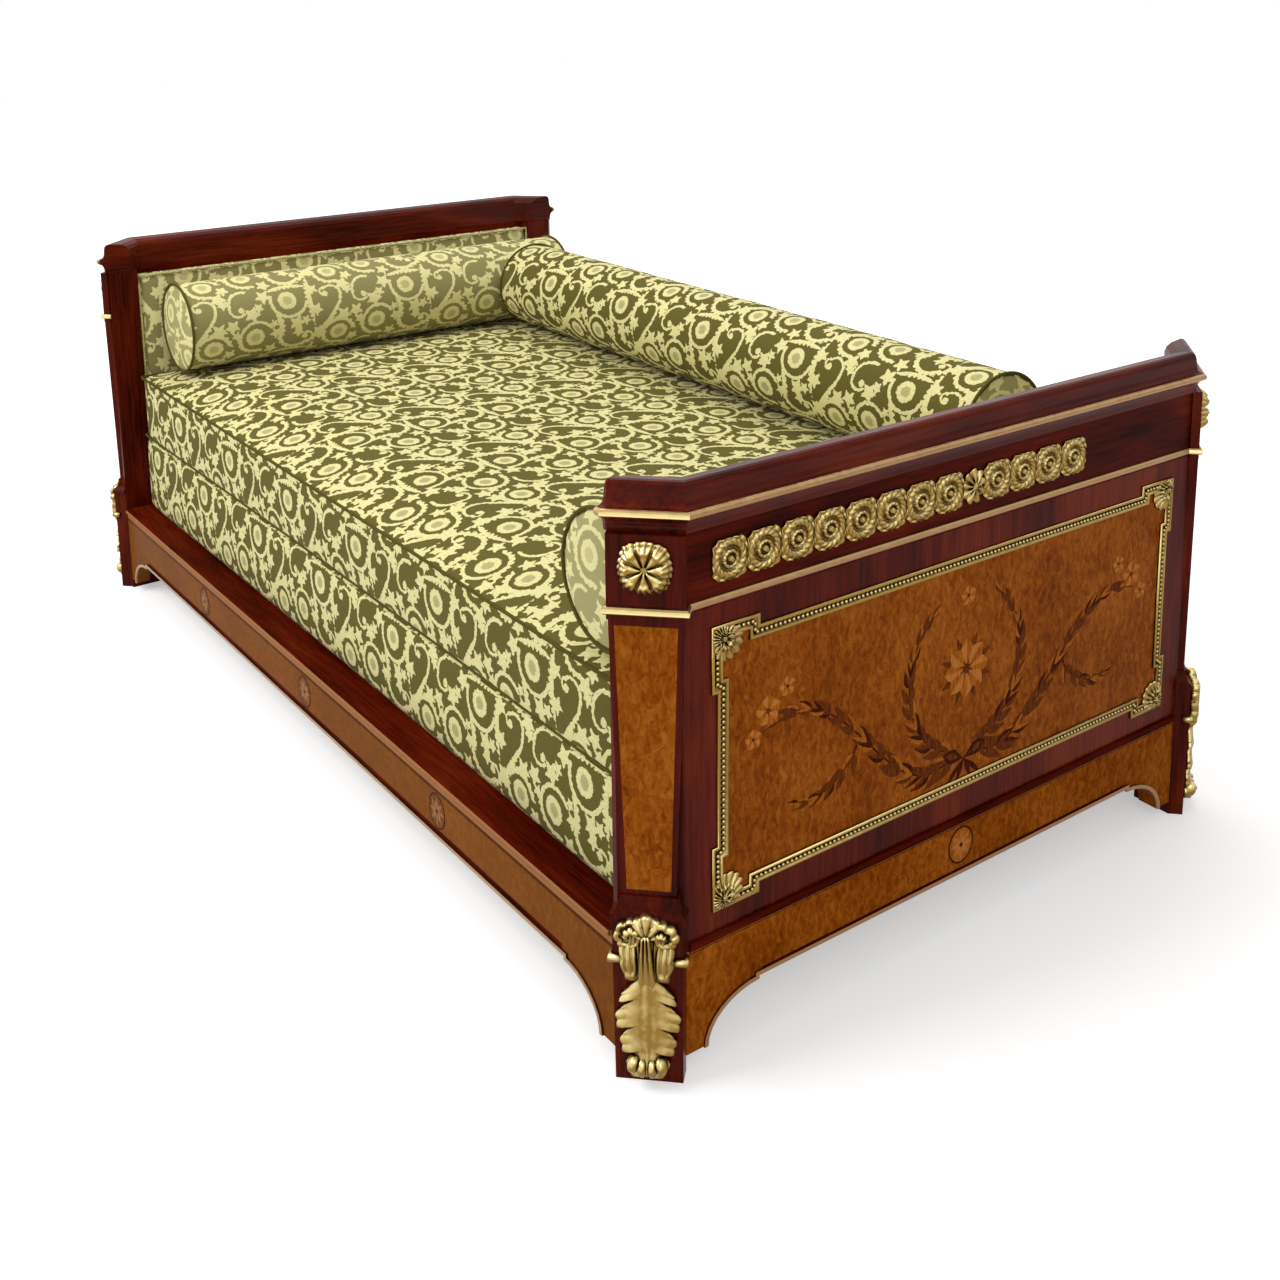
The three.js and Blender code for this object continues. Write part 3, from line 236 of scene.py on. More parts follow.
AXES, MAPPING, MATH = "ShaderNodeSeparateXYZ", "ShaderNodeMapping", "ShaderNodeMath"
MIX, NOISE, PLACE = "ShaderNodeMix", "ShaderNodeTexNoise", "ShaderNodeTexCoord"
RAMP, RANGE, VECTOR = "ShaderNodeValToRGB", "ShaderNodeMapRange", "ShaderNodeVectorMath"

# the map that keeps the cloth's own flat places
CLOTH_MAP = "cloth"

# sizes of the patterns in metres
FIGURE_WIDTH, FIGURE_LENGTH = 0.07, 0.32
CROSSBAND_LEAF = 0.118
WEAR_PATCH = 0.012
HOLLOW_REACH = 0.008
# threads lie half a millimetre apart, and are drawn at one and a half so that they show
THREAD_WIDTH, THREAD_LENGTH = 0.0015, 0.006
VEIN_SIZE = 0.004
WAVER_SIZE = 0.005
POLISH_ROUGHNESS = 0.26

# heights of the veneers on aprons and rails: burr field, painted highlight line, painted shadow line, and
# half the straight run
APRON_BANDS = ((0.094, 0.1628), (0.1627, 0.1661), (0.1605, 0.1627), 0.37)
RAIL_BANDS = ((0.099, 0.1842), (0.1648, 0.1842), (0.1590, 0.1648), 0.836)


def set_inputs(tree, node, inputs):
    """Links or sets the inputs of a node. A node given as a source stands for its output."""
    for socket, source in inputs.items():
        if isinstance(source, bpy.types.Node):
            source = next(output for output in source.outputs if output.enabled)
        if isinstance(source, bpy.types.NodeSocket):
            tree.links.new(source, node.inputs[socket])
        else:
            node.inputs[socket].default_value = source


def add_node(tree, kind, inputs=None, **settings):
    """Adds a node, sets it up and links or sets its inputs."""
    node = tree.nodes.new(kind)
    for key, value in settings.items():
        setattr(node, key, value)
    set_inputs(tree, node, inputs or {})
    return node


def new_material(name):
    """An empty material with its node tree and surface."""
    material = bpy.data.materials.new(name)
    material.use_nodes = True
    tree = material.node_tree
    tree.nodes.clear()
    surface = add_node(tree, "ShaderNodeBsdfPrincipled")
    add_node(tree, "ShaderNodeOutputMaterial", {"Surface": surface})
    return material, tree, surface


def set_stops(ramp, stops):
    """Gives a colour ramp its stops, each a place and a colour."""
    elements = ramp.color_ramp.elements
    while len(elements) > 1:
        elements.remove(elements[-1])
    elements[0].position = stops[0][0]
    elements[0].color = (*stops[0][1], 1)
    for place, colour in stops[1:]:
        elements.new(place).color = (*colour, 1)


def mahogany_tone(tree, place, axis, blocks=0.0):
    """Colour of mahogany with its grain along one axis, and its pores for the gloss."""
    wood = bpy.context.scene.daybed_wood
    along = "XYZ".index(axis)
    stretch = [1 / wood.grain] * 3
    stretch[along] = 1 / (wood.grain * 16)
    grain_place = add_node(tree, MAPPING, {"Vector": place, "Scale": stretch})
    # fine pores drawn out along the grain: they break the gloss into streaks
    pores = add_node(tree, NOISE, {"Vector": grain_place, "Scale": 1.0, "Detail": 4.0, "Roughness": 0.65})
    wide = [1 / FIGURE_WIDTH] * 3
    wide[along] = 1 / FIGURE_LENGTH
    figure_place = add_node(tree, MAPPING, {"Vector": place, "Scale": wide})
    # broad figure: the colour drifts between red brown and near black
    figure = add_node(tree, NOISE, {"Vector": figure_place, "Scale": 1.0, "Detail": 2.0, "Distortion": 0.6})
    fine = add_node(tree, MATH, {0: pores, 1: 0.4, 2: 0.05}, operation="MULTIPLY_ADD")
    total = add_node(tree, MATH, {0: figure, 1: 0.5, 2: fine}, operation="MULTIPLY_ADD")
    if blocks:
        # crossbanding: leaves of veneer side by side, each a little lighter or darker
        line = add_node(tree, AXES, {0: place}).outputs["Y"]
        count = add_node(tree, MATH, {0: line, 1: 1 / blocks, 2: 0.5}, operation="MULTIPLY_ADD")
        leaf = add_node(tree, MATH, {0: count}, operation="FLOOR")
        shade = add_node(tree, "ShaderNodeTexWhiteNoise", {"W": leaf}, noise_dimensions="1D")
        total = add_node(tree, MATH, {0: shade, 1: 0.16, 2: total}, operation="MULTIPLY_ADD")
    ramp = add_node(tree, RAMP, {"Fac": total})
    set_stops(ramp, [(0.36, wood.mahogany_dark), (0.52, wood.mahogany), (0.7, wood.mahogany_light)])
    return ramp, pores


def burr_tone(tree, place, lighten=0.0):
    """Colour of burr veneer: mottled swirls with small dark eyes."""
    wood = bpy.context.scene.daybed_wood
    eye = wood.burr_eye
    warp = add_node(tree, NOISE, {"Vector": place, "Scale": 1 / (eye * 2.5), "Detail": 2.0})
    shift = add_node(tree, VECTOR, {0: warp.outputs["Color"], "Scale": eye * 2.0}, operation="SCALE")
    swirled = add_node(tree, VECTOR, {0: place, 1: shift}, operation="ADD")
    drawn = add_node(tree, MAPPING, {"Vector": swirled, "Scale": (1, 1, 0.45)})
    # eyes: small round knots, closer in clusters
    eyes = add_node(tree, "ShaderNodeTexVoronoi", {"Vector": swirled, "Scale": 1 / eye})
    curls = add_node(tree, NOISE, {
        "Vector": drawn, "Scale": 1 / (eye * 0.8), "Detail": 4.0, "Roughness": 0.62, "Distortion": 0.5})
    cloud = add_node(tree, NOISE, {"Vector": place, "Scale": 1 / (eye * 14), "Detail": 1.0})
    near_eye = add_node(tree, RANGE, {
        "Value": eyes.outputs["Distance"], "From Min": 0.0, "From Max": 0.3, "To Min": -0.12, "To Max": 0.0})
    tone = add_node(tree, MATH, {0: curls, 1: near_eye}, operation="ADD")
    toned = add_node(tree, MATH, {0: cloud, 1: 0.4, 2: tone}, operation="MULTIPLY_ADD")
    ramp = add_node(tree, RAMP, {"Fac": toned})
    set_stops(ramp, [
        (0.42 - lighten, wood.burr_dark), (0.66 - lighten, wood.burr), (0.98 - lighten, wood.burr_light)])
    return ramp


def french_polish(tree, surface, pores=None, shine=0.05):
    """Shellac polish: a soft reflection, streaked where the pores are open."""
    rough = POLISH_ROUGHNESS + 0.06
    if pores:
        rough = add_node(tree, RANGE, {
            "Value": pores, "From Min": 0.3, "From Max": 0.7,
            "To Min": POLISH_ROUGHNESS - 0.05, "To Max": POLISH_ROUGHNESS + 0.1})
    # an old, thin and waxed polish: weak reflections keep the red of the wood deep
    set_inputs(tree, surface, {"Roughness": rough, "Specular IOR Level": shine})


def polished_mahogany(name, axis, blocks=0.0, shine=0.05):
    """Mahogany veneer under French polish."""
    material, tree, surface = new_material(name)
    place = add_node(tree, PLACE).outputs["Object"]
    colour, pores = mahogany_tone(tree, place, axis, blocks)
    set_inputs(tree, surface, {"Base Color": colour})
    french_polish(tree, surface, pores, shine)
    return material


def polished_burr(name, lighten=0.0):
    """Burr veneer under French polish."""
    material, tree, surface = new_material(name)
    place = add_node(tree, PLACE).outputs["Object"]
    set_inputs(tree, surface, {"Base Color": burr_tone(tree, place, lighten)})
    french_polish(tree, surface, shine=0.02)
    return material


def banded_rail_veneer(name, axis, bands, lighten=0.0, rail_shade=0.0):
    """A rail veneered with burr between a mahogany moulding above and a mahogany band below."""
    (bottom, top), highlight_line, shadow_line, straight_half = bands
    tones = bpy.context.scene.daybed_wood
    material, tree, surface = new_material(name)
    place = add_node(tree, PLACE).outputs["Object"]
    wood, pores = mahogany_tone(tree, place, axis)
    # light has dulled the red of the veneer on the open sides
    # painted shade: on the rails the burr is darker and mixed towards a duller brown, as the long sides take
    # less light
    burr = add_node(tree, MIX, {
        0: rail_shade, 6: burr_tone(tree, place, lighten), 7: (*tones.dull_brown, 1)}, data_type="RGBA")
    height = add_node(tree, AXES, {0: place}).outputs["Z"]
    above = add_node(tree, MATH, {0: height, 1: top}, operation="GREATER_THAN")
    # the bands stop at the brackets, which are burr down to their toes
    run = add_node(tree, AXES, {0: place}).outputs[axis]
    along = add_node(tree, MATH, {0: run}, operation="ABSOLUTE")
    straight = add_node(tree, MATH, {0: along, 1: straight_half}, operation="LESS_THAN")
    under = add_node(tree, MATH, {0: height, 1: bottom}, operation="LESS_THAN")
    band = add_node(tree, MATH, {0: straight, 1: under}, operation="MULTIPLY")
    edge = add_node(tree, MATH, {0: above, 1: band}, operation="MAXIMUM")
    colour = add_node(tree, MIX, {0: edge, 6: burr, 7: wood}, data_type="RGBA")
    # painted highlight along the moulding's lower edge, where it catches the light, over a painted shadow
    # line under the lip
    for (low, high), strength, tone in (
            (highlight_line, 0.85, tones.pale_tan_and_highlight), (shadow_line, 0.6, tones.mahogany_dark)):
        line = add_node(tree, MATH, {
            0: height, 1: (low + high) / 2, 2: (high - low) / 2}, operation="COMPARE")
        share = add_node(tree, MATH, {0: line, 1: strength}, operation="MULTIPLY")
        colour = add_node(tree, MIX, {0: share, 6: colour, 7: (*tone, 1)}, data_type="RGBA")
    set_inputs(tree, surface, {"Base Color": colour})
    french_polish(tree, surface, pores, shine=0.005)
    return material


def flecked(name, stretch, scale, detail, stops, values):
    """A plain material: flecks of one size between two tones. Values go to the sockets of its surface."""
    material, tree, surface = new_material(name)
    place = add_node(tree, PLACE).outputs["Object"]
    if stretch:
        place = add_node(tree, MAPPING, {"Vector": place, "Scale": stretch})
    fleck = add_node(tree, NOISE, {"Vector": place, "Scale": scale, "Detail": detail})
    ramp = add_node(tree, RAMP, {"Fac": fleck})
    set_stops(ramp, stops)
    set_inputs(tree, surface, {"Base Color": ramp, **values})
    return material


def gilt_bronze(name, painted_bead_light=False):
    """Chased bronze with mercury gilding; for the long beads a browner copy of it as painted shade, with
    painted highlights where they turn the cut corners.
    """
    metal = bpy.context.scene.daybed_metal
    material, tree, surface = new_material(name)
    place = add_node(tree, PLACE).outputs["Object"]
    wear = add_node(tree, NOISE, {"Vector": place, "Scale": 1 / WEAR_PATCH, "Detail": 3.0})
    # painted highlight: faces turned up and to the front get the bright gilding and undersides the darker
    # body, mixed with patches of wear
    facing = add_node(tree, "ShaderNodeNewGeometry").outputs["Normal"]
    upward = add_node(tree, VECTOR, {0: facing, 1: (0.0, -0.3, 0.85)}, operation="DOT_PRODUCT")
    wear_and_highlight = add_node(tree, MATH, {0: wear, 1: 0.5, 2: upward}, operation="MULTIPLY_ADD")
    high = add_node(tree, RANGE, {"Value": wear_and_highlight, "From Min": 0.40, "From Max": 0.95})
    if painted_bead_light:
        # painted highlight on the beads where they face the cut corners of the posts, which catch the light
        east, north, _ = add_node(tree, AXES, {0: facing}).outputs
        turned = add_node(tree, MATH, {0: east, 1: north}, operation="MULTIPLY")
        corner = add_node(tree, MATH, {0: turned}, operation="ABSOLUTE")
        corner_highlight = add_node(tree, RANGE, {"Value": corner, "From Min": 0.25, "From Max": 0.4})
        high = add_node(tree, MATH, {
            0: high, 1: 0.35, 2: corner_highlight}, operation="MULTIPLY_ADD", use_clamp=True)
    # the beads' browner body colour is painted shade
    body = metal.bead if painted_bead_light else metal.gilt
    gold = add_node(tree, MIX, {0: high, 6: (*body, 1), 7: (*metal.bright, 1)}, data_type="RGBA")
    # hollows are darkened to brown: old varnish and dirt, and painted shade where little light reaches; it
    # draws the chasing
    hollow = add_node(tree, "ShaderNodeAmbientOcclusion", {"Distance": HOLLOW_REACH}, samples=8)
    clean_and_lit = add_node(tree, RANGE, {"Value": hollow.outputs["AO"], "From Min": 0.45, "From Max": 0.9})
    colour = add_node(tree, MIX, {0: clean_and_lit, 6: (*metal.worn, 1), 7: gold}, data_type="RGBA")
    rough = add_node(tree, RANGE, {
        "Value": wear, "From Min": 0.3, "From Max": 0.7, "To Min": 0.26, "To Max": 0.42})
    set_inputs(tree, surface, {"Base Color": colour, "Metallic": 1.0, "Roughness": rough})
    return material


# The figure of the damask, in millimetres from the middle of its first flower: three ringed flowers on a
# slope, with hooked stems, a bowl and leaves. Each mark is measured from the place that it lies near.
FLOWER_PLACES = ((0, 0), (79, 76), (-91, -17))
NEAR_PLACES = FLOWER_PLACES + ((-84, 78), (90, -12))
STEM_RUNS = (
    # near place, start, middle, end, half width and reach of the leaf lobes on its outer side
    # rings that open round the flowers
    (0, (-33, -8), (-2, 35.5), (36, 18), 3.6, 0), (0, (-34, -4), (-20, -29), (14, -35), 3.2, 4),
    (1, (44, 92), (78, 38), (122, 68), 3.6, 0), (1, (44, 104), (80, 113), (122, 106), 3.6, -5),
    (2, (-122, -2), (-88, 15), (-58, -12), 3.4, 5), (2, (-126, -16), (-114, -43), (-84, -50), 3.2, 4),
    # tall stem that rises from its leafy foot to a hook
    (2, (-150, -18), (-126, 6), (-104, 38), 4.6, 5), (3, (-104, 36), (-88, 54), (-82, 84), 3.4, 0),
    (3, (-82, 78), (-96, 98), (-120, 92), 2.8, 0), (3, (-116, 95), (-128, 86), (-119, 76), 2.4, 0),
    # hook that hangs over the first flower
    (3, (-8, 110), (-42, 102), (-51, 74), 3.4, 0), (3, (-51, 78), (-42, 55), (-20, 60), 2.8, 0),
    # leafy stem under the second flower, with its bowl
    (1, (50, 44), (58, 22), (58, 2), 4.6, 5), (4, (58, 6), (82, -38), (120, -26), 3.6, 4),
    (4, (117, -29), (130, -12), (112, -6), 2.6, 0),
    # leafy stem beside the second flower
    (1, (136, 108), (131, 74), (136, 36), 4.6, 6))
BERRIES = ((3, (-117, 80), 6.5), (3, (-27, 67), 7), (4, (113, -14), 7), (1, (127, 66), 6))
SPRAYS = (
    # near place, middle, reach and turn of each five-pointed leaf
    (0, (-4, 54), 20, 0.2), (0, (12, 67), 13, 1.0), (0, (37, -38), 17, 0.4), (0, (43, 28), 11, 1.2),
    (1, (27, 92), 19, 0.9), (1, (142, 46), 17, 0.6), (1, (141, 96), 15, 1.3), (4, (47, 4), 15, 1.1),
    (1, (96, 21), 20, 0.0), (4, (98, 0), 15, 0.9), (1, (116, 25), 13, 0.5), (3, (-71, 100), 20, 0.4),
    (3, (-63, 85), 13, 1.3), (2, (-80, 26), 19, 0.7), (0, (-50, 32), 18, 1.0), (0, (-42, 10), 13, 0.2),
    (2, (-138, -10), 20, 0.5), (2, (-55, -38), 16, 0.8), (1, (21, -56), 12, 0.9), (4, (146, -4), 12, 0.2))
# tones from a flower's middle outward: a half-toned eye, a bright flower, then a dark ring
FLOWER_TONES = ((0.0, 0.48), (0.33, 0.56), (0.37, 1.0), (0.67, 1.0), (0.71, 0.0))
FLOWER_REACH, CLEAR_REACH = 30.0, 29.0
LOBE_LENGTH = 11
LEAF_POINTS, LEAF_DEPTH = 5, 0.46
WAVER = 4.5


def circle_through(start, middle, end):
    """Centre and radius of the circle through three places."""
    (ax, ay), (bx, by), (cx, cy) = start, middle, end
    area = 2 * (ax * (by - cy) + bx * (cy - ay) + cx * (ay - by))
    sa, sb, sc = ax * ax + ay * ay, bx * bx + by * by, cx * cx + cy * cy
    ux = (sa * (by - cy) + sb * (cy - ay) + sc * (ay - by)) / area
    uy = (sa * (cx - bx) + sb * (ax - cx) + sc * (bx - ax)) / area
    return (ux, uy), math.hypot(ax - ux, ay - uy)


def stem_mark(tree, near, run):
    """An arc of the figure: a band of a circle, on the middle place's side of its chord."""
    index, *ends, half, leaf = run
    origin = NEAR_PLACES[index]
    start, middle, end = (Vector((x - origin[0], y - origin[1])) for x, y in ends)
    centre, radius = circle_through(start, middle, end)
    across = Vector((start.y - end.y, end.x - start.x)).normalized()
    across *= 1 if across.dot(middle - start) > 0 else -1
    spoke = add_node(tree, VECTOR, {0: near[index], 1: (*centre, 0)}, operation="SUBTRACT")
    reach = add_node(tree, VECTOR, {0: spoke}, operation="LENGTH")
    side = add_node(tree, VECTOR, {0: near[index], 1: (*across, 0)}, operation="DOT_PRODUCT")
    if leaf:
        x, y, _ = add_node(tree, AXES, {0: spoke}).outputs
        angle = add_node(tree, MATH, {0: y, 1: x}, operation="ARCTAN2")
        lobes = round(math.pi * radius / LOBE_LENGTH)
        turn = add_node(tree, MATH, {0: angle, 1: lobes}, operation="MULTIPLY")
        wave = add_node(tree, MATH, {0: turn}, operation="SINE")
        lobe = add_node(tree, MATH, {0: wave}, operation="ABSOLUTE")
        # half of the lobe's growth moves the line's middle and half widens it
        radius = add_node(tree, MATH, {0: lobe, 1: leaf / 2, 2: radius}, operation="MULTIPLY_ADD")
        half = add_node(tree, MATH, {0: lobe, 1: abs(leaf) / 2, 2: half}, operation="MULTIPLY_ADD")
    line = add_node(tree, MATH, {0: reach, 1: radius, 2: half}, operation="COMPARE")
    beyond = add_node(tree, MATH, {0: side, 1: across.dot(start) - 1}, operation="GREATER_THAN")
    return add_node(tree, MATH, {0: line, 1: beyond}, operation="MULTIPLY")


def berry_mark(tree, near, berry):
    """A round dot of the figure."""
    index, point, radius = berry
    spot = (point[0] - NEAR_PLACES[index][0], point[1] - NEAR_PLACES[index][1], 0)
    reach = add_node(tree, VECTOR, {0: near[index], 1: spot}, operation="DISTANCE")
    return add_node(tree, MATH, {0: reach, 1: radius}, operation="LESS_THAN")


def leaf_mark(tree, near, spray):
    """A five-pointed leaf of the figure."""
    index, point, radius, turn = spray
    spot = (point[0] - NEAR_PLACES[index][0], point[1] - NEAR_PLACES[index][1], 0)
    local = add_node(tree, VECTOR, {0: near[index], 1: spot}, operation="SUBTRACT")
    reach = add_node(tree, VECTOR, {0: local}, operation="LENGTH")
    x, y, _ = add_node(tree, AXES, {0: local}).outputs
    angle = add_node(tree, MATH, {0: y, 1: x}, operation="ARCTAN2")
    points = add_node(tree, MATH, {0: angle, 1: LEAF_POINTS / 2, 2: turn}, operation="MULTIPLY_ADD")
    wave = add_node(tree, MATH, {0: points}, operation="SINE")
    notch = add_node(tree, MATH, {0: wave}, operation="ABSOLUTE")
    rim = add_node(tree, MATH, {0: notch, 1: -LEAF_DEPTH * radius, 2: radius}, operation="MULTIPLY_ADD")
    return add_node(tree, MATH, {0: reach, 1: rim}, operation="LESS_THAN")


def damask_figure(tree, flat):
    """The woven figure over the cloth's flat places: 0 in the ground and 1 in the figure."""
    cloth = bpy.context.scene.daybed_cloth
    size = Vector((cloth.repeat_width * 1000, cloth.repeat_height * 1000, 1.0))
    # the weaver's steps: edges of the figure waver by a millimetre or two
    waver = add_node(tree, NOISE, {"Vector": flat, "Scale": 1 / WAVER_SIZE, "Detail": 0.0})
    shift = (WAVER / size.x, WAVER / size.y, 0)
    jitter = add_node(tree, VECTOR, {
        0: waver.outputs["Color"], 1: shift, 2: (-shift[0] / 2, -shift[1] / 2, 0)}, operation="MULTIPLY_ADD")
    tile = add_node(tree, VECTOR, {
        0: flat, 1: (1000 / size.x, 1000 / size.y, 0), 2: jitter}, operation="MULTIPLY_ADD")
    near = []
    for x, y in NEAR_PLACES:
        middle = (0.5 - x / size.x, 0.5 - y / size.y, 0)
        moved = add_node(tree, VECTOR, {0: tile, 1: middle}, operation="ADD")
        within = add_node(tree, VECTOR, {0: moved}, operation="FRACTION")
        near.append(add_node(tree, VECTOR, {0: within, 1: size, 2: -size / 2}, operation="MULTIPLY_ADD"))
    foliage = 0.0
    for draw, marks in ((stem_mark, STEM_RUNS), (berry_mark, BERRIES), (leaf_mark, SPRAYS)):
        for mark in marks:
            drawn = draw(tree, near, mark)
            foliage = add_node(tree, MATH, {0: foliage, 1: drawn}, operation="MAXIMUM")
    closest = 1000.0
    for place in near[:len(FLOWER_PLACES)]:
        reach = add_node(tree, VECTOR, {0: place}, operation="LENGTH")
        closest = add_node(tree, MATH, {0: reach, 1: closest}, operation="MINIMUM")
    outward = add_node(tree, MATH, {0: closest, 1: FLOWER_REACH}, operation="DIVIDE")
    flower = add_node(tree, RAMP, {"Fac": outward})
    set_stops(flower, [(place, (tone,) * 3) for place, tone in FLOWER_TONES])
    # the dark ring clears the leaves
    clear = add_node(tree, MATH, {0: closest, 1: CLEAR_REACH}, operation="GREATER_THAN")
    growth = add_node(tree, MATH, {0: foliage, 1: clear}, operation="MULTIPLY")
    return add_node(tree, MATH, {0: flower, 1: growth}, operation="MAXIMUM")


def silk_damask(name, ground_share=0.0):
    """Silk damask: a matt green ground and a pale satin figure of ringed flowers, hooked stems and leaves."""
    cloth = bpy.context.scene.daybed_cloth
    material, tree, surface = new_material(name)
    flat = add_node(tree, "ShaderNodeUVMap", uv_map=CLOTH_MAP)
    figure = damask_figure(tree, flat)
    thread_place = add_node(tree, MAPPING, {
        "Vector": flat, "Scale": (1 / THREAD_WIDTH, 1 / THREAD_LENGTH, 1)})
    thread = add_node(tree, NOISE, {"Vector": thread_place, "Scale": 1.0, "Detail": 1.0})
    ground = add_node(tree, MIX, {
        0: thread, 6: (*cloth.ground_deep, 1), 7: (*cloth.ground, 1)}, data_type="RGBA")
    # veins: the binding of the figure lets a little of the ground show
    veins = add_node(tree, NOISE, {"Vector": flat, "Scale": 1 / VEIN_SIZE, "Detail": 1.0})
    bound = add_node(tree, MATH, {0: veins, 1: 0.5, 2: 0.62}, operation="MULTIPLY_ADD")
    woven = add_node(tree, MATH, {0: figure, 1: bound}, operation="MULTIPLY")
    share = add_node(tree, MATH, {
        0: woven, 1: 1 - ground_share, 2: ground_share}, operation="MULTIPLY_ADD", use_clamp=True)
    colour = add_node(tree, MIX, {0: share, 6: ground, 7: (*cloth.figure, 1)}, data_type="RGBA")
    rough = add_node(tree, RANGE, {"Value": figure, "To Min": 0.9, "To Max": 0.6})
    bump = add_node(tree, "ShaderNodeBump", {"Height": thread, "Distance": 0.0003, "Strength": 0.3})
    # silk without shine on its ground: only a trace of reflection
    set_inputs(tree, surface, {
        "Base Color": colour, "Roughness": rough, "Normal": bump, "Specular IOR Level": 0.12,
        "Sheen Weight": 0.04, "Sheen Roughness": 0.4})
    return material


def finish(name):
    """The material of that name, made when it is first asked for."""
    wood, cloth = bpy.context.scene.daybed_wood, bpy.context.scene.daybed_cloth

    def inlaid(dark, body):
        # thin leaves of plain wood with a fine straight grain
        return lambda n: flecked(
            n, (300, 300, 60), 1.0, 3.0, [(0.3, dark), (0.6, body)],
            {"Roughness": POLISH_ROUGHNESS + 0.06, "Specular IOR Level": 0.01})

    def corded(shade, colour):
        # silk over a cord: the weave shows as fine twisted lines
        return lambda n: flecked(
            n, None, 1 / 0.002, 1.0, [(0.35, shade), (0.65, colour)],
            {"Roughness": 0.8, "Specular IOR Level": 0.1})

    def plain(stretch, scale, dark, light, values):
        stops = [(0.35, linear(dark)), (0.6, linear(light))]
        return lambda n: flecked(n, stretch, scale, 3.0, stops, values)
    makers = {
        "mahogany_cap": lambda n: polished_mahogany(n, "Y", shine=0.09),
        "mahogany_frieze": lambda n: polished_mahogany(n, "Y", shine=0.02),
        "mahogany_upright": lambda n: polished_mahogany(n, "Z"),
        "mahogany_crossbanded": lambda n: polished_mahogany(n, "Z", blocks=CROSSBAND_LEAF),
        "burr_polished": polished_burr,
        "burr_polished_lighter": lambda n: polished_burr(n, lighten=0.06),
        "apron_veneers": lambda n: banded_rail_veneer(n, "Y", APRON_BANDS),
        # the rails' burr is darker and duller than the aprons': painted shade
        "rail_veneers": lambda n: banded_rail_veneer(n, "X", RAIL_BANDS, lighten=-0.06, rail_shade=0.6),
        "inlay_blossom": inlaid(wood.burr_light, wood.inlay_light),
        "inlay_leaf": inlaid(wood.inlay_dark, wood.inlay_middle),
        "inlay_pale": inlaid(wood.burr, wood.burr_light),
        "inlay_stem": inlaid(wood.mahogany_dark, wood.inlay_dark),
        "inlay_worn": inlaid(wood.dull_brown, wood.pale_tan_and_highlight),
        "inlay_dull": inlaid(wood.burr_dark, wood.dull_brown),
        "bronze_mercury_gilt": gilt_bronze,
        "bronze_brown_lacquer": lambda n: gilt_bronze(n, painted_bead_light=True),
        "damask_silk": silk_damask,
        # a paler copy of the damask, its ground lightened: painted sheen
        "damask_silk_turned": lambda n: silk_damask(n, ground_share=0.22),
        "damask_silk_paler": lambda n: silk_damask(n, ground_share=0.38),
        "cord_olive_silk": corded(cloth.ground_deep, cloth.cord),
        "cord_gold_silk": corded(cloth.ground, cloth.figure),
        # planed beech without polish: pale, with short dark flecks along the slats
        "beech_planed": plain((260, 30, 260), 1.0, "#8d6338", "#b98d5a", {"Roughness": 0.65}),
        # turned steel of the bed bolts, dulled by rust
        "steel_dull": plain(None, 1 / 0.004, "#4b4038", "#8b8884", {"Metallic": 1.0, "Roughness": 0.45}),
    }
    return bpy.data.materials.get(name) or makers[name](name)


# Upholstery

def lay_cloth(mesh, chart):
    """Writes the cloth's own flat place of each corner, in metres, to the map that the damask reads."""
    flat = mesh.uv_layers.new(name=CLOTH_MAP)
    for face in mesh.polygons:
        points = [mesh.vertices[i].co for i in face.vertices]
        for loop, place in zip(face.loop_indices, chart(face, points)):
            flat.data[loop].uv = place


def box_chart(front=(0.0, 0.0), top=(0.0, 0.0)):
    """Cloth cut in flat panels, with a flower's place on the front and on the top."""
    def chart(face, points):
        normal = face.normal
        if abs(normal.z) > 0.6:
            return [(top[0] - p.x, top[1] - p.y) for p in points]
        if abs(normal.y) > abs(normal.x):
            return [(p.x * (-1 if normal.y > 0 else 1) - front[0], p.z - front[1]) for p in points]
        return [(p.y * (1 if normal.x > 0 else -1) - front[0], p.z - front[1]) for p in points]
    return chart


def box_grid(name, low, high, counts):
    """A closed box of even quads."""
    bm = bmesh.new()
    corners = {}

    def vert(*index):
        if index not in corners:
            place = [a + (b - a) * i / n for a, b, i, n in zip(low, high, index, counts)]
            corners[index] = bm.verts.new(place)
        return corners[index]
    for axis in range(3):
        u, v = [a for a in range(3) if a != axis]
        for level in (0, counts[axis]):
            for i in range(counts[u]):
                for j in range(counts[v]):
                    quad = []
                    for di, dj in ((0, 0), (1, 0), (1, 1), (0, 1)):
                        index = [0, 0, 0]
                        index[axis], index[u], index[v] = level, i + di, j + dj
                        quad.append(vert(*index))
                    bm.faces.new(quad)
    return add_object(name, bm)


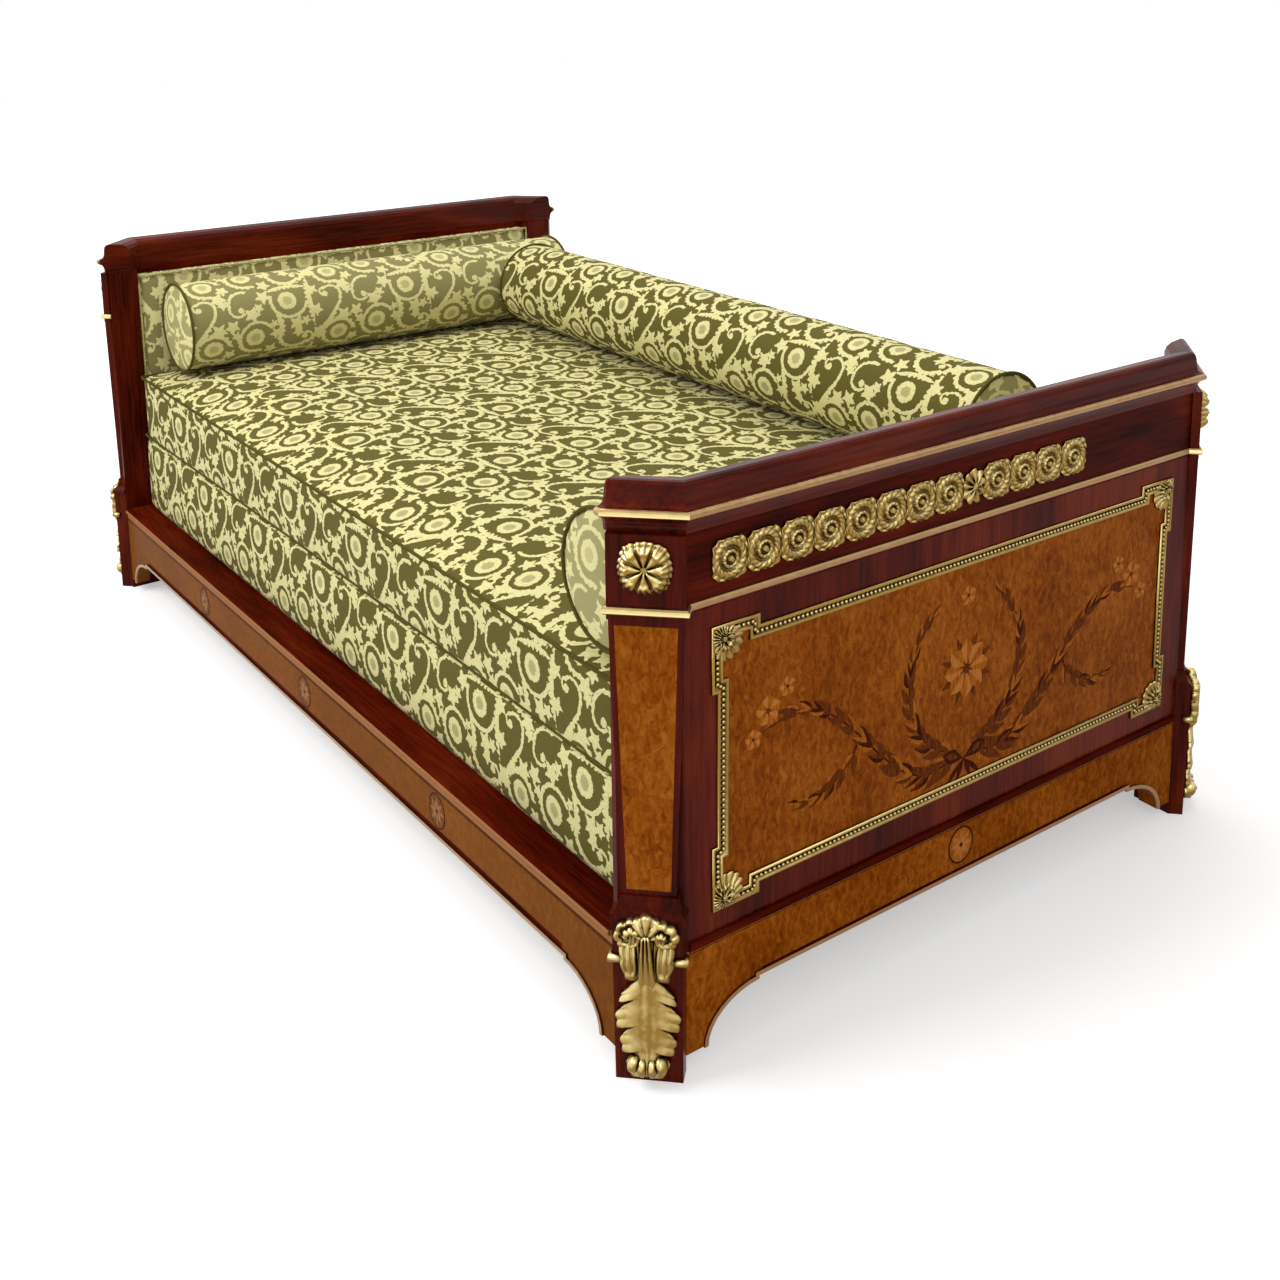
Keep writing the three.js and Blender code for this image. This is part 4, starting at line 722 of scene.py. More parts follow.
def inflate(obj, seams, pressure, cap, frames=20):
    """Fills the cover out with the cloth simulation, held at its seams. No point moves further than cap."""
    rest = [v.co.copy() for v in obj.data.vertices]
    group = obj.vertex_groups.new(name="seams")
    for index, weight in seams.items():
        group.add([index], weight, "REPLACE")
    cloth = obj.modifiers.new("cover", "CLOTH")
    settings = cloth.settings
    settings.use_pressure = True
    settings.uniform_pressure_force = pressure
    settings.effector_weights.gravity = 0
    settings.vertex_group_mass = "seams"
    settings.tension_stiffness = 12
    settings.compression_stiffness = 12
    settings.bending_stiffness = 1.5
    settings.quality = 4
    cloth.point_cache.frame_start = 1
    cloth.point_cache.frame_end = frames
    scene = bpy.context.scene
    for step in range(1, frames + 1):
        scene.frame_set(step)
    shaped = obj.evaluated_get(bpy.context.evaluated_depsgraph_get())
    moved = [v.co.copy() for v in shaped.to_mesh().vertices]
    shaped.to_mesh_clear()
    obj.modifiers.remove(cloth)
    obj.vertex_groups.clear()
    scene.frame_set(1)
    for vertex, start, end in zip(obj.data.vertices, rest, moved):
        push = end - start
        if push.length > cap:
            push *= cap / push.length
        vertex.co = start + push


def cord(name, path, radius, body, colour="cord_olive_silk"):
    """A closed cord sewn into a seam."""
    sides = 8
    bm = bmesh.new()
    rings = []
    count = len(path)
    for i, point in enumerate(path):
        tangent = (path[(i + 1) % count] - path[i - 1]).normalized()
        up = Vector((0, 0, 1)) if abs(tangent.z) < 0.9 else Vector((0, 1, 0))
        across = tangent.cross(up).normalized()
        above = across.cross(tangent).normalized()
        angles = [TURN * s / sides for s in range(sides)]
        rings.append([
            point + across * radius * math.cos(a) + above * radius * math.sin(a) for a in angles])
    loft(bm, rings, closed=True)
    obj = finish_mesh(name, bm, finish(colour), body)


def subdivide(obj):
    """One level of subdivision, applied."""
    modifier = obj.modifiers.new("smooth", "SUBSURF")
    modifier.levels = 1
    modifier.render_levels = 1
    done = bpy.data.meshes.new_from_object(obj.evaluated_get(bpy.context.evaluated_depsgraph_get()))
    obj.modifiers.clear()
    obj.data = done
    for face in obj.data.polygons:
        face.use_smooth = True


def dress(obj, node, body, fill, cloth="damask_silk"):
    """Gives a finished cover its cloth and puts it in the place of its solid."""
    subdivide(obj)
    obj.data.materials.append(finish(cloth))
    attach(obj, body)
    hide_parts(node)


def rim_path(half_x, half_y, z, rounding=0.012, steps=6, stride=0.04):
    """A closed path round a cushion, with rounded corners, in steps of about one stride."""
    points = []
    for cx, cy, start in ((1, -1, -90), (1, 1, 0), (-1, 1, 90), (-1, -1, 180)):
        for i in range(steps + 1):
            angle = math.radians(start + 90 * i / steps)
            points.append(Vector((
                cx * (half_x - rounding) + rounding * math.cos(angle),
                cy * (half_y - rounding) + rounding * math.sin(angle), z)))
    path = []
    for i, point in enumerate(points):
        after = points[(i + 1) % len(points)]
        pieces = max(1, int((after - point).length / stride))
        path += [point.lerp(after, s / pieces) for s in range(pieces)]
    return path


# Height of the sides, distance of the cover inside its solid, how far its sides draw in and its corners
# round, rise of the top and its sag in the middle, unevenness, pressure of the filling and how far it may
# push the cover, heights of the cords, places of the cloth on the front and on the top, and how full it is.
MATTRESS_FORM = {
    "height": 0.136, "inset": 0.003, "draw": 0.006, "corner": 0.014, "crown": 0.034, "sag": 0.005,
    "rumple": 0.0025, "pressure": 2.0, "cap": 0.006, "cords": (0.004, 0.1345),
    "front": (0.0575, 0.352), "top": (0.2025, -0.300), "fill": 0.9}
BASE_FORM = {
    "height": 0.162, "inset": 0.003, "draw": 0.003, "corner": 0.008, "crown": 0.0, "sag": 0.0,
    "rumple": 0.0, "pressure": 1.2, "cap": 0.004, "cords": (),
    "front": (0.186, 0.237), "top": (0.0, 0.0), "fill": 0.95}
# the cords lie this far inside the widest line of the cushion
CORD_INSET = 0.005


class DAYBED_OT_mattress(bpy.types.Operator):
    """Makes the box base and the mattress, with cords in the mattress's seams"""
    bl_idname = "daybed.mattress"
    bl_label = "Base and Mattress"

    def execute(self, context):
        self.cushion("box_base", BASE_FORM)
        self.cushion("mattress", MATTRESS_FORM)
        return {"FINISHED"}

    def cushion(self, node, form):
        """A box cushion whose sides draw in between the corners and whose top is crowned"""
        low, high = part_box(node)
        half_x, half_y = (high[0] - low[0]) / 2, (high[1] - low[1]) / 2
        height = form["height"]
        obj = box_grid(f"{node}_cover", (-half_x, -half_y, 0), (half_x, half_y, height), (96, 52, 8))
        for vertex in obj.data.vertices:
            vertex.co.z += low[2]
        lay_cloth(obj.data, box_chart(form["front"], form["top"]))
        seams = {}

        def crown(u, v):
            return form["crown"] * (1 - abs(u) ** 8) * (1 - abs(v) ** 8) - form["sag"] * (1 - u * u)

        def drawn_in(u, v, half, pull):
            inward = pull * (1 - v * v) + form["corner"] * abs(v) ** 24 / 2
            return u * (half - form["inset"] - abs(u) * inward)
        for vertex in obj.data.vertices:
            u, v = vertex.co.x / half_x, vertex.co.y / half_y
            w = 2 * (vertex.co.z - low[2]) / height - 1
            if abs(w) > 0.999 and (abs(u) > 0.999 or abs(v) > 0.999):
                seams[vertex.index] = 1.0
            pull = form["draw"] * (0.3 + 0.7 * w * w)
            x, y = drawn_in(u, v, half_x, pull), drawn_in(v, u, half_y, pull)
            uneven = noise.noise(Vector((x * 5, y * 7, height * 9)))
            soft = uneven * form["rumple"] * (1 - v ** 6) * (1 - u ** 6)
            vertex.co = (x, y, vertex.co.z + max(0, w) * (crown(u, v) + soft))
        inflate(obj, seams, form["pressure"], form["cap"])
        if form["crown"]:
            # the top stays under its solid's crown, so that the bolsters lie clear on it
            for vertex in obj.data.vertices:
                u, v = vertex.co.x / half_x, vertex.co.y / half_y
                limit = low[2] + height + crown(min(1, abs(u)), min(1, abs(v))) + 0.0005
                vertex.co.z = min(vertex.co.z, limit)
        dress(obj, node, node, form["fill"])
        piping = bpy.context.scene.daybed_cloth.piping
        for index, (label, level) in enumerate(zip(("lower", "upper"), form["cords"])):
            rim = rim_path(half_x - CORD_INSET, half_y - CORD_INSET, low[2] + level)
            for point in rim:
                u, v = point.x / half_x, point.y / half_y
                point.z -= form["sag"] * (1 - u * u) * index
                point.x -= math.copysign(form["draw"] * max(0, 1 - v * v), u) * abs(u) ** 8
                point.y -= math.copysign(form["draw"] * max(0, 1 - u * u), v) * abs(v) ** 8
            cord(f"{node}_{label}_cord", rim, piping, node)


# radius of the twisted cords of bolsters and pads, and the place of a bolster's welt from its end
CORD_RADIUS = 0.003
WELT_PLACE = 0.0095
# profile of a bolster's end: share of the radius and rise of the dome towards the welt
END_DOME = ((0.25, 0.0003), (0.5, 0.0014), (0.75, 0.0035), (0.92, 0.006))
# the end's own cloth reaches this far along the bolster
END_REACH = 0.012


class DAYBED_OT_bolsters(bpy.types.Operator):
    """Makes the three round bolsters with welted ends"""
    bl_idname = "daybed.bolsters"
    bl_label = "Bolsters"

    def execute(self, context):
        for node, axis in (("head_bolster", 1), ("foot_bolster", 1), ("back_bolster", 0)):
            self.bolster(node, axis)
        return {"FINISHED"}

    def bolster(self, node, axis):
        """A round bolster along X or Y with domed ends and a welt sewn round each of them"""
        low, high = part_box(node)
        half = (high[axis] - low[axis]) / 2
        centre = (Vector(low) + Vector(high)) / 2
        radius = (high[2] - low[2]) / 2
        around, rows = 64, 60

        def turned(along, reach, angle):
            side, up = reach * math.sin(angle), reach * math.cos(angle)
            return centre + (Vector((side, along, up)) if axis == 1 else Vector((along, side, up)))
        end = [(-half + 0.001, 0.0)] + [
            (-half + 0.001 + dome, (radius - 0.012) * share) for share, dome in END_DOME]
        end += [(-half + WELT_PLACE, radius - 0.009), (-half + 0.0105, radius - 0.0045)]
        middle = [
            (along, radius - 0.003 - 0.0016 * (abs(along) / half) ** 6)
            for along in [-half + 0.016 + (2 * half - 0.032) * i / rows for i in range(rows + 1)]]
        profile = end + middle + [(-a, r) for a, r in reversed(end)]
        bm = bmesh.new()
        rings = [
            [bm.verts.new(turned(along, reach, TURN * i / around)) for i in range(around)]
            for along, reach in profile[1:-1]]
        for lower, upper in zip(rings, rings[1:]):
            for i in range(around):
                bm.faces.new((lower[i], lower[(i + 1) % around], upper[(i + 1) % around], upper[i]))
        for ring, (along, _) in ((rings[0], profile[0]), (rings[-1], profile[-1])):
            tip = bm.verts.new(turned(along, 0, 0))
            for i in range(around):
                bm.faces.new((ring[i], ring[(i + 1) % around], tip))
        obj = add_object(f"{node}_cover", bm)

        def from_end(point):
            return half - abs((point - centre)[axis])

        def chart(face, points):
            middle = sum(points, Vector()) / len(points) - centre
            if abs(middle[axis]) > half - END_REACH:
                return [((p - centre)[1 - axis] + 0.02, (p - centre).z - 0.03) for p in points]
            start = math.atan2(middle[1 - axis], middle.z)
            turn = -1 if axis == 1 and centre.x < 0 else 1
            flat = []
            for p in points:
                spot = p - centre
                angle = start + math.remainder(math.atan2(spot[1 - axis], spot.z) - start, TURN)
                flat.append((spot[axis] + 0.05, turn * angle * radius + 0.02))
            return flat
        lay_cloth(obj.data, chart)
        seams = {v.index: 1.0 for v in obj.data.vertices if 0.008 < from_end(v.co) < END_REACH}
        inflate(obj, seams, 2.5, 0.002, frames=12)
        # small folds run round the cover from the welts
        for vertex in obj.data.vertices:
            spot = vertex.co - centre
            side = Vector((0 if axis == 0 else spot.x, 0 if axis == 1 else spot.y, spot.z))
            if side.length > radius * 0.7 and abs(spot[axis]) < half - END_REACH:
                angle = math.atan2(side[1 - axis], side.z)
                fold = noise.noise(Vector((spot[axis] * 14, angle * 2.4, half * 7)))
                vertex.co -= side.normalized() * (0.0012 + 0.0018 * fold)
        # painted sheen: the head bolster takes a paler copy of the damask, its ground lightened towards the
        # figure as if the light caught it
        dress(obj, node, node, 0.95, "damask_silk_turned" if node == "head_bolster" else "damask_silk")
        obj.data.materials.append(finish("damask_silk_paler"))
        for face in obj.data.polygons:
            face.material_index = 1 if abs((face.center - centre)[axis]) > half - WELT_PLACE else 0
        for label, sign in (("start", -1), ("end", 1)):
            place = sign * (half - WELT_PLACE)
            path = [turned(place, radius - 0.0042, TURN * i / 72) for i in range(72)]
            cord(f"{node}_{label}_welt", path, CORD_RADIUS, node)


class DAYBED_OT_inner_pads(bpy.types.Operator):
    """Makes the upholstered pads inside both ends, edged with gold cord"""
    bl_idname = "daybed.inner_pads"
    bl_label = "Inner Pads"

    def execute(self, context):
        for end, sign in ENDS:
            self.pad(end, sign)
        return {"FINISHED"}

    def pad(self, end, sign):
        """A flat pad that swells from the board, with a gold cord round its front edge"""
        low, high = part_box(f"{end}_inner_pad")
        back = high[0] if sign > 0 else low[0]
        depth = high[0] - low[0]
        half_y = (high[1] - low[1]) / 2
        middle, half_z = (low[2] + high[2]) / 2, (high[2] - low[2]) / 2
        obj = box_grid(
            f"{end}_pad_cover", (-depth / 2, -half_y, low[2]), (depth / 2, half_y, high[2]), (4, 60, 32))
        lay_cloth(obj.data, box_chart((0.03, 0.62)))
        seams = {}
        for vertex in obj.data.vertices:
            share = 0.5 - vertex.co.x / depth
            v, w = vertex.co.y / half_y, (vertex.co.z - middle) / half_z
            if share < 0.01:
                seams[vertex.index] = 1.0
            crown = 0.004 * (1 - abs(v) ** 8) * (1 - abs(w) ** 8)
            rounding = 0.001 + 0.004 * share * max(abs(v), abs(w)) ** 30
            out = 0.0004 + share * (depth - 0.0045 + crown)
            vertex.co = (back - sign * out, v * (half_y - rounding), middle + w * (half_z - rounding))
        bm = bmesh.new()
        bm.from_mesh(obj.data)
        bmesh.ops.recalc_face_normals(bm, faces=bm.faces)
        bm.to_mesh(obj.data)
        bm.free()
        inflate(obj, seams, 1.5, 0.002, frames=10)
        # the pad's cloth is the paler copy of the damask, with its painted sheen
        dress(obj, f"{end}_inner_pad", "frame", 0.9, "damask_silk_turned")
        x = back - sign * (depth - 0.0035)
        corners = [(-half_y, -half_z), (half_y, -half_z), (half_y, half_z), (-half_y, half_z)]
        path = []
        for (y0, z0), (y1, z1) in zip(corners, corners[1:] + corners[:1]):
            for i in range(24):
                # the cord runs a little inside the pad's edge
                y, z = y0 + (y1 - y0) * i / 24, z0 + (z1 - z0) * i / 24
                path.append(Vector((x, y * 0.9945, middle + z * 0.988)))
        cord(f"{end}_pad_cord", path, CORD_RADIUS, "frame", "cord_gold_silk")


# Case and mounts

NODE_FINISHES = (
    ("cap_rail", "mahogany_cap"), ("frieze_rail", "mahogany_frieze"), ("panel_board", "mahogany_crossbanded"),
    ("post", "mahogany_upright"), ("burr_slip", "burr_polished_lighter"), ("burr_panel", "burr_polished"),
    ("apron", "apron_veneers"), ("front_rail", "rail_veneers"), ("back_rail", "rail_veneers"),
    # beads and trims take the gilding with painted shade on the long runs and painted highlights at the
    # corners
    ("cap_bead", "bronze_brown_lacquer"), ("frieze_bead", "bronze_brown_lacquer"),
    ("trim", "bronze_brown_lacquer"), ("bed_bolt", "steel_dull"), ("slat_bearer", "beech_planed"))


class DAYBED_OT_case(bpy.types.Operator):
    """Gives the case its polished woods and metal trims, and eases the edges of the wood"""
    bl_idname = "daybed.case"
    bl_label = "Case Finishes"

    def execute(self, context):
        for name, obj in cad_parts.items():
            choice = next((look for ending, look in NODE_FINISHES if name.endswith(ending)), None)
            choice = "beech_planed" if name.startswith("slat_") else choice
            if not choice:
                continue
            obj.data.materials.clear()
            obj.data.materials.append(finish(choice))
            if choice not in ("bronze_brown_lacquer", "steel_dull"):
                edge = obj.modifiers.new("eased_edges", "BEVEL")
                edge.width = 0.0007
                edge.segments = 2
                edge.limit_method = "ANGLE"
                edge.angle_limit = math.radians(35)
                edge.harden_normals = True
        return {"FINISHED"}


def gilt_mount(name, bm, node):
    """Finishes a mount and puts it in the place of its solid."""
    obj = finish_mesh(name, bm, finish("bronze_mercury_gilt"), "frame")
    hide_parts(node)


class DAYBED_OT_leaf_mounts(bpy.types.Operator):
    """Makes the chased acanthus leaves on the feet, with their scrolled heads and plinth beads"""
    bl_idname = "daybed.leaf_mounts"
    bl_label = "Leaf Mounts"

    def execute(self, context):
        for end, end_sign in ENDS:
            for side, side_sign in SIDES:
                place = on_corner(end_sign, side_sign)
                bm = bmesh.new()
                self.blade(bm, place)
                self.field(bm, place)
                for sign in (-1, 1):
                    self.curl(bm, place, (sign * 0.0064, 0.0290), math.pi / 2, 0.0072, 0.0130)
                    self.curl(bm, place, (sign * 0.0178, 0.0335), math.pi / 2 + sign * 0.30, 0.0076, 0.0120)
                    self.volute(bm, place, sign)
                    self.hanging_leaf(bm, place, sign)
                    self.bead(bm, place, sign)
                self.tongue(bm, place)
                self.crest(bm, place)
                gilt_mount(f"{end}_{side}_leaf", bm, f"{end}_{side}_leaf_mount")
        return {"FINISHED"}

    def blade(self, bm, place):
        """The hanging leaf: four lobes on each side, each lying over the next"""
        top, bottom = 0.160, 0.021
        widths = ((0, 0.018), (0.14, 0.034), (0.38, 0.0415), (0.64, 0.036), (0.86, 0.029), (1, 0.018))
        lobes = (0.0, 0.24, 0.52, 0.78, 1.0)

        def within(t):
            start, end = next(pair for pair in zip(lobes, lobes[1:]) if t <= pair[1])
            return (t - start) / (end - start)

        def full(t):
            (t0, h0), (t1, h1) = next(pair for pair in zip(widths, widths[1:]) if t <= pair[1][0])
            return h0 + (h1 - h0) * (t - t0) / (t1 - t0)

        def across(t, s):
            # the middle of the leaf is whole, and the lobes stand apart only in their outer part
            f = within(t)
            hand = smooth_step(f, -0.05, 0.42) * (1 - smooth_step(f, 0.90, 1.0))
            tooth = 1 - 0.13 * (1 - abs(math.sin(3 * math.pi * f)) ** 0.6)
            inner = 0.34 * full(t)
            outer = inner + (full(t) - inner) * (0.12 + 0.88 * hand) * tooth
            share = abs(s)
            reach = inner * share / 0.4 if share < 0.4 else inner + (outer - inner) * (share - 0.4) / 0.6
            return math.copysign(reach, s)

        def spot(t, s):
            x = across(t, s)
            return x, top + (bottom - top) * t - 0.018 * (abs(x) / full(t)) ** 1.5 * (1 - 0.6 * t)

        def rise(t, s):
            f = within(t)
            edge = min(1, abs(across(t, s)) / full(t))
            dome = 0.0052 + 0.0088 * (1 - edge ** 2)
            layer = 0.0058 * smooth_step(edge, 0.30, 0.7) * (f ** 1.3 - 0.35)
            vein = 0.0011 * smooth_step(edge, 0.45, 0.95) * (abs(math.sin(3 * math.pi * f)) - 0.5)
            rib = 0.0010 * math.exp(-(edge / 0.06) ** 2) - 0.0010 * math.exp(-((edge - 0.15) / 0.06) ** 2)
            return max(0.001, dome + layer + vein + rib + 0.005 * smooth_step(t, 0.78, 0.97))
        blade_relief(bm, place, spot, rise, rows=132, columns=30)

    def curl(self, bm, place, root, lean, width, length):
        """A bulging tip of the leaf where its end rolls forward"""
        def reach(angle):
            along = math.cos(angle - lean)
            side = math.sin(angle - lean)
            return 1 / math.sqrt((along / length) ** 2 + (side / width) ** 2)

        def rise(share, angle):
            return 0.0135 + 0.0110 * math.sqrt(max(0.0, 1 - share ** 2)) * (0.9 + 0.1 * math.sin(angle))
        round_relief(bm, place, root, reach, rise, around=32, rows=10)

    def field(self, bm, place):
        """Sunk ground of the head, behind the tongue and the hanging leaves"""
        def spot(t, s):
            return s * (0.024 - 0.003 * t), 0.214 - 0.064 * t

        def rise(t, s):
            return 0.0110 + 0.0022 * fluted(s * math.pi, 9)
        blade_relief(bm, place, spot, rise, rows=10, columns=36)

    def tongue(self, bm, place):
        """Ribbed tongue that hangs from the middle of the head over the leaf"""
        def spot(t, s):
            return s * (0.0055 + 0.0075 * t), 0.212 - 0.086 * t

        def rise(t, s):
            ridges = 0.0036 * (fluted(s * math.pi * 0.97, 3, 0.8) - 0.6) * (1 - t) ** 0.6
            return 0.0205 - 0.0085 * smooth_step(t, 0.3, 1.0) - 0.0025 * s ** 4 * t + ridges
        blade_relief(bm, place, spot, rise, rows=28, columns=36)

    def hanging_leaf(self, bm, place, sign):
        """Narrow leaf under a scroll, with nicked sides and a ball at its tip"""
        def spot(t, s):
            outline = math.sin(math.pi * (0.24 + 0.66 * t)) ** 0.6
            nicks = 1 - 0.28 * (1 - abs(math.sin(2.5 * math.pi * t)) ** 0.7) * (0.5 + 0.5 * s * sign)
            return sign * (0.0235 - 0.0030 * t) + s * 0.0126 * outline * nicks, 0.199 - 0.052 * t

        def rise(t, s):
            flutes = 0.0034 * (fluted(s * math.pi * 0.92, 3, 0.8) - 0.55) * (1 - smooth_step(t, 0.66, 0.9))
            ball = 0.0045 * math.exp(-((t - 0.85) / 0.11) ** 2) * (1 - s * s)
            return 0.0095 + 0.0075 * math.sin(math.pi * t ** 0.8) * (1 - s ** 4) + ball + flutes
        blade_relief(bm, place, spot, rise, rows=36, columns=24)

    def volute(self, bm, place, sign):
        """Scroll of the head: a spiral with small leaf tips on its upper rim"""
        def reach(angle):
            upper = 0.5 + 0.5 * math.sin(angle + 0.4 * sign)
            return 0.0172 + (0.0012 + 0.0036 * upper) * fluted(angle, 8, 0.6)

        def rise(share, angle):
            upper = 0.5 + 0.5 * math.sin(angle)
            if share < 0.16:
                return 0.0150 - 0.02 * share
            turn = 1.55 * share - sign * (angle - 0.6) / TURN
            band = abs(math.sin(math.pi * turn)) ** 0.7
            tips = fluted(angle, 8, 0.7) if share > 0.70 else 1
            return 0.0085 + (0.0052 + 0.0040 * upper) * band * (1 - 0.30 * share ** 4) * (0.68 + 0.32 * tips)
        round_relief(bm, place, (sign * 0.0198, 0.2070), reach, rise, around=104, rows=26)

    def crest(self, bm, place):
        """Small palmette that stands between the scrolls"""
        def reach(angle):
            upward = max(0.0, math.sin(angle)) ** 0.5
            return 0.009 + 0.0195 * upper_share(angle) * upward

        def upper_share(angle):
            return 0.80 + 0.20 * fluted(angle - math.pi / 2, 9, 0.7)

        def rise(share, angle):
            rib = 0.0052 * (fluted(angle - math.pi / 2, 9, 0.7) - 0.5)
            return 0.0105 + 0.0055 * (1 - share ** 2) + rib * min(1, 1.6 * share)
        round_relief(bm, place, (0, 0.2075), reach, rise, around=90, rows=14)

    def bead(self, bm, place, sign):
        """Half round bead over the plinth, from the leaf out and round the corner of the foot"""
        up, radius, half = 0.170, 0.0058, 0.0452
        rings = []
        for across, back in ((0.020, 0.0), (half, 0.0), (half, 0.011)):
            ring = []
            for s in range(9):
                angle = math.pi * (s / 8 - 0.5)
                reach = radius * math.cos(angle)
                ring.append(place(
                    sign * (across + (reach if across == half else 0)), up + radius * math.sin(angle),
                    -back + (reach if back == 0 else 0)))
            rings.append(ring)
        loft(bm, rings)


class DAYBED_OT_rosettes(bpy.types.Operator):
    """Makes the acanthus rosettes on the blocks at the top of the posts"""
    bl_idname = "daybed.rosettes"
    bl_label = "Rosettes"

    def execute(self, context):
        def square(angle):
            return (math.cos(angle) ** 4 + math.sin(angle) ** 4) ** -0.12

        def reach(angle):
            lobes = 0.05 * fluted(angle, 8, 0.5) + 0.05 * fluted(angle, 24, 0.7)
            return 0.0335 * square(angle) * (0.90 + lobes)

        def rise(share, angle):
            # eight gadrooned petals swell from a small sunk eye, with a ruffled edge behind them
            petal_crest = fluted(angle, 8, 0.55)
            if share < 0.14:
                return 0.0100
            swell = math.sin(math.pi * min(1, (share + 0.18) / 1.08) ** 1.1) ** 0.6 if share < 0.9 else 0
            ruffle = 0.0030 * fluted(angle, 24, 0.7) * smooth_step(share, 0.55, 0.85)
            edge = 0.0045 * (1 - smooth_step(share, 0.86, 1.0)) + 0.001
            tips = 0.0035 * math.exp(-((share - 0.66) / 0.1) ** 2) * petal_crest
            return edge + swell * 0.0090 * (0.34 + 0.66 * petal_crest) + ruffle + tips
        for end, end_sign in ENDS:
            for side, side_sign in SIDES:
                corner = on_corner(end_sign, side_sign)

                def place(across, up, out, corner=corner):
                    return corner(across, up, out - ROSETTE_SINK)
                bm = bmesh.new()
                round_relief(bm, place, (0, ROSETTE_MIDDLE), reach, rise, around=168, rows=28)
                gilt_mount(f"{end}_{side}_rosette_leaves", bm, f"{end}_{side}_rosette")
        return {"FINISHED"}


class DAYBED_OT_frieze_mounts(bpy.types.Operator):
    """Makes the running scroll mounts of both friezes, either side of a palmette"""
    bl_idname = "daybed.frieze_mounts"
    bl_label = "Frieze Mounts"

    def execute(self, context):
        for end, sign in ENDS:
            place = on_end(sign)
            bm = bmesh.new()
            # at the foot the row is shorter towards the back
            back_count = 4 if end == "foot" else 8
            for side, count in ((-1, 8), (1, back_count)):
                for index in range(count):
                    turn = side if index % 2 else -side
                    self.scroll(bm, place, side * (PALMETTE_HALF + SCROLL_PITCH * (index + 0.5)), turn)
            self.palmette(bm, place)
            gilt_mount(f"{end}_frieze_scrolls", bm, f"{end}_frieze_mount")
        return {"FINISHED"}

    def scroll(self, bm, place, across, turn):
        """One ring of leaves round a flower, on a square field that closes the row"""
        def square(angle):
            return min((math.cos(angle) ** 6 + math.sin(angle) ** 6) ** (-1 / 6), 1.2)

        def reach(angle):
            return 0.0268 * square(angle) * (0.96 + 0.04 * fluted(angle, 20, 0.7))

        def rise(share, angle):
            # the field's corners hold leaf tips, and the ring stands above them
            radius = share * square(angle)
            whirl = angle + turn * 1.1 * radius
            if radius < 0.13:
                return 0.0076
            if radius < 0.24:
                return 0.0006
            if radius < 0.50:
                petals = math.sin(math.pi * (radius - 0.24) / 0.26) ** 0.6
                return 0.0008 + 0.0056 * petals * (0.8 + 0.2 * fluted(whirl, 10))
            if radius < 0.60:
                return 0.0006
            if radius < 0.98:
                band = math.sin(math.pi * (radius - 0.60) / 0.38) ** 0.5
                return 0.0008 + 0.0052 * band * (0.55 + 0.45 * fluted(whirl, 16))
            return 0.0010 + 0.0034 * fluted(angle * 2 + math.pi / 4, 8)
        round_relief(bm, place, (across, FRIEZE_MIDDLE), reach, rise, around=84, rows=26)

    def palmette(self, bm, place):
        """Fan of nine tips round a button, in the middle of the row"""
        def reach(angle):
            tips = 0.78 + 0.22 * fluted(angle - math.pi / 2, 9, 0.8)
            return 0.0215 * tips * (1 + 0.2 * abs(math.sin(angle)))

        def rise(share, angle):
            if share < 0.2:
                return 0.0092 - 0.01 * share
            return 0.0016 + 0.0060 * fluted(angle - math.pi / 2, 9) * (1 - 0.5 * share ** 3)
        round_relief(bm, place, (0, FRIEZE_MIDDLE), reach, rise, around=90, rows=16)


def frame_outline(inset):
    """The crossetted path of the panel frame, moved inward, in across and up."""
    ear_width, ear_height, step_in, step_down = 0.076, 0.088, 0.009, 0.015
    out, top = FRAME_HALF_WIDTH - inset, FRAME_HALF_HEIGHT - inset
    ear_in, ear_low = FRAME_HALF_WIDTH - ear_width + inset, FRAME_HALF_HEIGHT - ear_height + inset
    quarter = [(out - step_in, ear_low), (out, ear_low), (out, top), (ear_in, top), (ear_in, top - step_down)]
    path = quarter + [(-a, b) for a, b in reversed(quarter)]
    path += [(-a, -b) for a, b in quarter] + [(a, -b) for a, b in reversed(quarter)]
    return [(a, PANEL_MIDDLE + b) for a, b in path]


# section of the frame: distance inward from its outer edge and height over the panel
FRAME_SECTION = (
    (0.0, 0.0), (0.0, 0.0022), (0.0012, 0.0030), (0.0036, 0.0030), (0.0052, 0.0010), (0.0120, 0.0010),
    (0.0130, 0.0034), (0.0152, 0.0042), (0.0168, 0.0026), (0.0170, 0.0))


